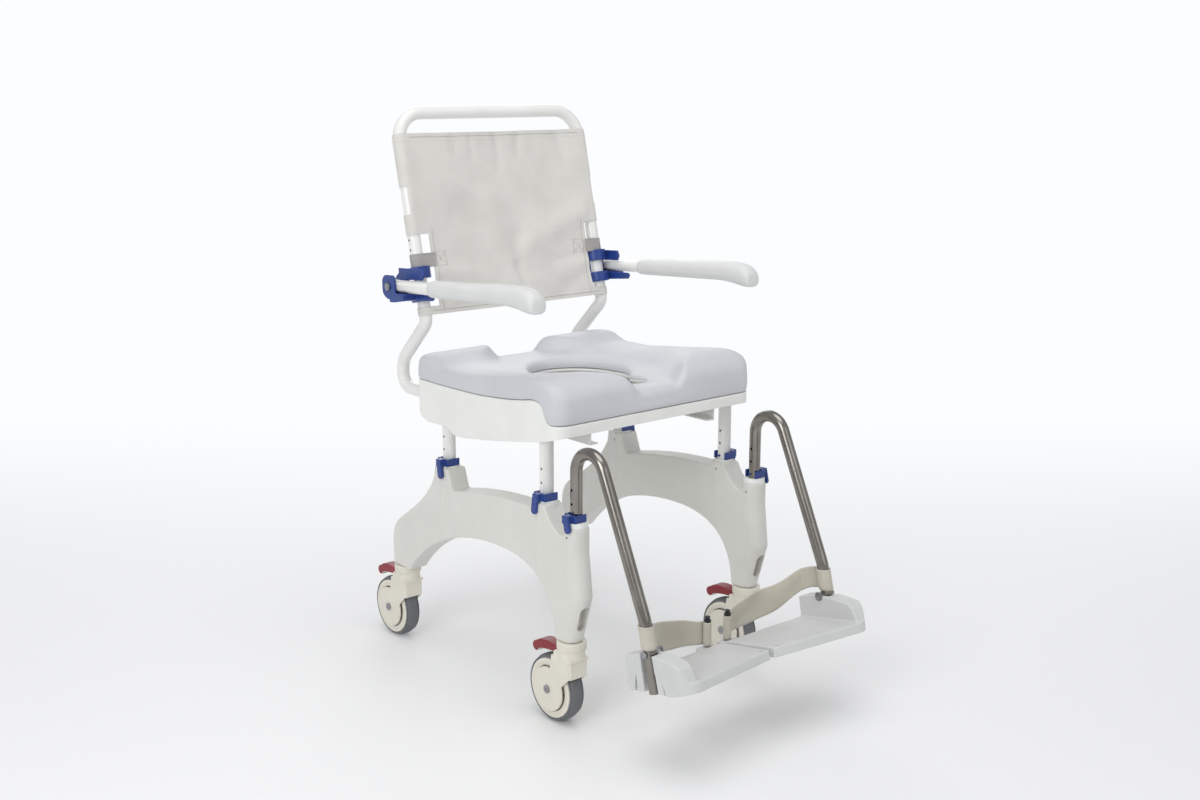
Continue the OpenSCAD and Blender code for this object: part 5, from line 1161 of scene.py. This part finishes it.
def makeArmPads():
    around, power = 44, armPad["squareness"]
    stations = [0.0, 0.004, 0.012, 0.03] + [0.03 + 0.69 * k / 26 for k in range(1, 27)]
    stations += [0.72 + 0.24 * k / 22 for k in range(1, 23)] + [0.97, 0.98, 0.988, 0.994, 0.998, 1.0]
    for side, sign in sideSigns.items():
        rows = []
        for s in stations:
            top, low, half = armPadShares(s)
            edge = min(1.0, 0.86 + 0.14 * math.sqrt(max(0.0, s / 0.012))) if s < 0.012 else 1.0
            y = armPad["length"] - armPad["armLength"] - armPad["length"] * s
            mid, tall = armPad["width"] * (top + low) / 2, armPad["width"] * (top - low) / 2 * edge
            row = []
            for i in range(around):
                a = 2 * math.pi * i / around
                r = (abs(math.cos(a)) ** power + abs(math.sin(a)) ** power) ** (-1 / power)
                row.append(onArm(sign, chair["armX"] + armPad["width"] * half * edge * r * math.cos(a), y,
                                 mid + tall * r * math.sin(a)))
            rows.append(row)
        points = [p for row in rows for p in row]
        faces = gridFaces(len(rows), around, True)
        for k in (0, len(rows) - 1):
            middle = tuple(sum(p[c] for p in rows[k]) / around for c in range(3))
            points.append(middle)
            faces += [(len(points) - 1, k * around + i, k * around + (i + 1) % around) for i in range(around)]
        pad = outwardNormals(newPiece("arm_pad_" + side + "_foam", points, faces))
        swell = pad.modifiers.new("relax", "SMOOTH")
        swell.factor, swell.iterations = 0.5, 4
        bakeModifiers(pad)
        bore, ends = prismAlongY(circle(chair["armX"], 0, armPad["bore"], 40),
                                 armPad["length"] - armPad["armLength"] + 6, -armPad["armLength"] + 49.5)
        carved(pad, [([onArm(sign, *p) for p in bore], ends)])
        finishPiece(pad, "armPad", "arm_" + side, ["arm_pad_" + side], 50)


bracketSleeve = {"low": 730.0, "high": 768.0, "outer": 21.0, "inner": 14.0, "from": 120.0, "to": 320.0}
bracketBack = {"radius": 24.5, "from": -95.0, "to": 70.0, "beyond": 60.0}


def arcPoints(radius, fromAngle, toAngle, steps):
    angles = [math.radians(fromAngle + (toAngle - fromAngle) * k / steps) for k in range(steps + 1)]
    return [(radius * math.cos(a), radius * math.sin(a)) for a in angles]


def roundBack(sign):
    # What lies outside the bracket's round back end, round the arm's pivot
    r, far = bracketBack["radius"], bracketBack["beyond"]
    outline = arcPoints(r, bracketBack["from"], bracketBack["to"], 32)
    outline += [(outline[-1][0], far), (far, far), (far, -far), (outline[0][0], -far)]
    points, faces = prismAlongX(outline, chair["armX"] - 26, chair["armX"] + 26)
    return [onArm(sign, *p) for p in points], faces


def sleeveRound(sign):
    # Closed inner and front side of the bracket, between its two collars
    plan = arcPoints(bracketSleeve["outer"], bracketSleeve["from"], bracketSleeve["to"], 40)
    plan += reversed(arcPoints(bracketSleeve["inner"], bracketSleeve["from"], bracketSleeve["to"], 40))
    points = [leaned(sign * (chair["halfTrack"] + x), y, z)
              for z in (bracketSleeve["low"], bracketSleeve["high"]) for x, y in plan]
    count = len(plan)
    faces = sideWalls(count)
    for k in range(40):
        a, b, c, d = k, k + 1, count - 2 - k, count - 1 - k
        faces += [(a, b, c, d), (count + d, count + c, count + b, count + a)]
    return points, faces


def fusedWith(obj, parts):
    extra = joined("extra", parts)
    shape = bmesh.new()
    for piece in (obj, extra):
        shape.from_mesh(piece.data)
    shape.to_mesh(obj.data)
    shape.free()
    bpy.data.objects.remove(extra)
    return obj


def makeClip(node, body):
    clip = roundedBody(solidCopy(node + "_moulding", node), 0.7, 3)
    finishPiece(clip, "blue", body, [node])


def makeMouldings():
    for side, sign in sideSigns.items():
        node = "arm_bracket_" + side
        bracket = fusedWith(solidCopy(node + "_moulding", node), [sleeveRound(sign)])
        roundedBody(carved(bracket, [roundBack(sign)]), 0.9, 9)
        finishPiece(bracket, "blue", "seat", [node])
        makeClip("footrest_clip_" + side, "footrest_clip_" + side)
    for place in castorPlaces:
        makeClip("post_clip_" + place, "height_clip_" + place)


makeArmPads()
makeMouldings()
print("arms and clips ready")


# ---- Footrests ------------------------------------------------------------------------------------
footrest = {"tubeRadius": 11.0, "bore": 9.5, "hookRadius": 38.0, "hookZ": 515.0, "kneeRadius": 80.0,
            "kneeUp": 55.0, "shinLean": 13.7, "footDown": 65.0}


def footrestPath():
    lean = math.tan(math.radians(footrest["shinLean"]))
    x, hanger = chair["halfTrack"], chair["hangerY"]
    knee = (x, chair["footPivotY"] + footrest["kneeUp"] * lean, chair["footPivotZ"] + footrest["kneeUp"])
    ty, tz = hanger - footrest["hookRadius"] - knee[1], footrest["hookZ"] - footrest["hookRadius"] - knee[2]
    slope = math.atan2(ty, tz) - math.asin(footrest["hookRadius"] / math.hypot(ty, tz))
    return [(x, hanger, 310.0), (x, hanger, knee[2] + (hanger - knee[1]) / math.tan(slope)), knee,
            (x, chair["footPivotY"] - footrest["footDown"] * lean, chair["footPivotZ"] - footrest["footDown"])]


def makeFootrestTubes():
    centres = cornerArcs(footrestPath(), [footrest["hookRadius"], footrest["kneeRadius"]], 2.0)
    left = sweptTube("footrest_tube_left_polished", centres, footrest["tubeRadius"], footrest["bore"])
    clipZ = chair["receiverZ"] + 17.35
    holes = [rodAlongX(180, 260, chair["hangerY"], clipZ + 25 * k, 2.5, 24) for k in range(-1, 3)]
    holes.append(rodAlongX(180, 260, chair["footPivotY"], chair["footPivotZ"], 4.0, 32))
    carved(left, holes)
    right = shiftedCopy(left, "footrest_tube_right_polished", flip=True)
    for side, tube in (("left", left), ("right", right)):
        finishPiece(tube, "stainless", "footrest_" + side, ["footrest_tube_" + side], 30)


# Cuts in a footplate, in its own tilted frame: x from and to, and the outline in y and z
footplate = {"slotX": (218.0, 250.0), "slot": ((31, -34), (42, -74), (35, -74)),
             "drainX": (15.0, 25.0), "drain": ((-56.5, -30), (-53.5, -30), (-53.5, -70), (-56.5, -70))}


def onPlate(x, y, z):
    a = math.radians(chair["footTilt"])
    return (x, chair["footPivotY"] + y * math.cos(a) + z * math.sin(a),
            chair["footPivotZ"] - y * math.sin(a) + z * math.cos(a))


def plateBlock(x0, x1, outline):
    points, faces = prismAlongX(outline, x0, x1)
    return [onPlate(*p) for p in points], faces


def makeFootplates():
    plate = roundedBody(solidCopy("footplate_left_moulding", "footplate_left"), 1.5, 5)
    # Two V slots at the foot of the fan recess, and a drain slot near the inner front corner
    cuts = [plateBlock(*footplate["slotX"], [(sign * y, z) for y, z in footplate["slot"]]) for sign in (-1, 1)]
    cuts.append(plateBlock(*footplate["drainX"], footplate["drain"]))
    carved(plate, cuts)
    right = shiftedCopy(plate, "footplate_right_moulding", flip=True)
    for side, piece in (("left", plate), ("right", right)):
        finishPiece(piece, "plate", "footplate_" + side, ["footplate_" + side], 50)


strap = {"tubeWidth": 38.0, "postWidth": 44.0, "atTubeZ": 233.0, "atPostZ": 170.5, "slack": 34.0, "swell": 0.37,
         "lift": 10.0, "fallAt": 0.1, "fallSoft": 0.12, "fallPower": 5, "loopTurn": 320.0, "cloth": 1.4,
         "postX": 25.0, "postBack": 64.0, "postRadius": 5.0, "clear": 0.3, "rings": 13}


def strapMiddleZ(u):
    # The band falls softly soon after it has passed the plate's block
    def softFall(share):
        past = share - strap["fallAt"]
        return (past + math.hypot(past, strap["fallSoft"])) / 2

    fallen = (softFall(u) - softFall(0)) / (softFall(1) - softFall(0))
    return (strap["atPostZ"] + strap["lift"] * math.sin(math.pi * u)
            + (strap["atTubeZ"] - strap["atPostZ"]) * (1 - fallen) ** strap["fallPower"])


def strapWidth(u):
    plain = strap["tubeWidth"] + (strap["postWidth"] - strap["tubeWidth"]) * u
    return plain * (1 + strap["swell"] * math.sin(math.pi * u))


def makeHeelStraps():
    tubeR = footrest["tubeRadius"] + strap["clear"] + strap["cloth"]
    postR = strap["postRadius"] + strap["clear"] + strap["cloth"]
    postY = chair["footPivotY"] + strap["postBack"]
    x0 = chair["halfTrack"]
    lean = math.tan(math.radians(footrest["shinLean"]))
    for side, sign in sideSigns.items():
        points, uvs, distances = [], [], []
        for k in range(strap["rings"]):
            share = k / (strap["rings"] - 1)
            tubeZ = strap["atTubeZ"] + strap["tubeWidth"] * (share - 0.5)
            tubeY = chair["footPivotY"] + (tubeZ - chair["footPivotZ"]) * lean
            onTube = [(x0 - x, tubeY + y) for x, y in arcPoints(tubeR, 90 - strap["loopTurn"], 90, 30)]
            onPost = [(strap["postX"] + x, postY + y)
                      for x, y in arcPoints(postR, 90, 90 + strap["loopTurn"], 30)]
            band = []
            for i in range(1, 72):
                u = i / 72
                arch = math.sin(math.pi * u)
                wave = 2.2 * math.sin(5.2 * math.pi * u) * arch + 1.6 * math.sin(9 * u + 4 * share)
                ribs = 0.7 * math.sin(2 * math.pi * u * 38) if 0.12 < u < 0.24 else 0.0
                bow = strap["slack"] * arch * (1 + 0.12 * math.cos(math.pi * share))
                band.append((onTube[-1][0] + (onPost[0][0] - onTube[-1][0]) * u,
                             onTube[-1][1] + (onPost[0][1] - onTube[-1][1]) * u + bow + wave * arch + ribs))
            run = 0.0
            line = onTube + band + onPost
            for i, (px, py) in enumerate(line):
                run += math.dist(line[i], line[i - 1]) if i else 0.0
                u = min(1.0, max(0.0, (x0 - px - tubeR) / (x0 - strap["postX"] - 2 * tubeR)))
                width = strapWidth(u)
                points.append((sign * px, py, strapMiddleZ(u) + width * (share - 0.5)))
                uvs.append((run * mm, share * width * mm))
                distances.append(min(share, 1 - share) * width)
        piece = newPiece("heel_strap_" + side + "_textile", points, gridFaces(strap["rings"], len(line)))
        flatMap(piece, uvs)
        markEdges(piece, distances)
        outwardNormals(piece)
        thickened(piece, strap["cloth"])
        piece.data.materials.append(finishes["strap"])
        piece.data.shade_smooth()
        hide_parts("heel_strap_" + side)
        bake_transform(piece)


makeFootrestTubes()
makeFootplates()
makeHeelStraps()
print("footrests ready")

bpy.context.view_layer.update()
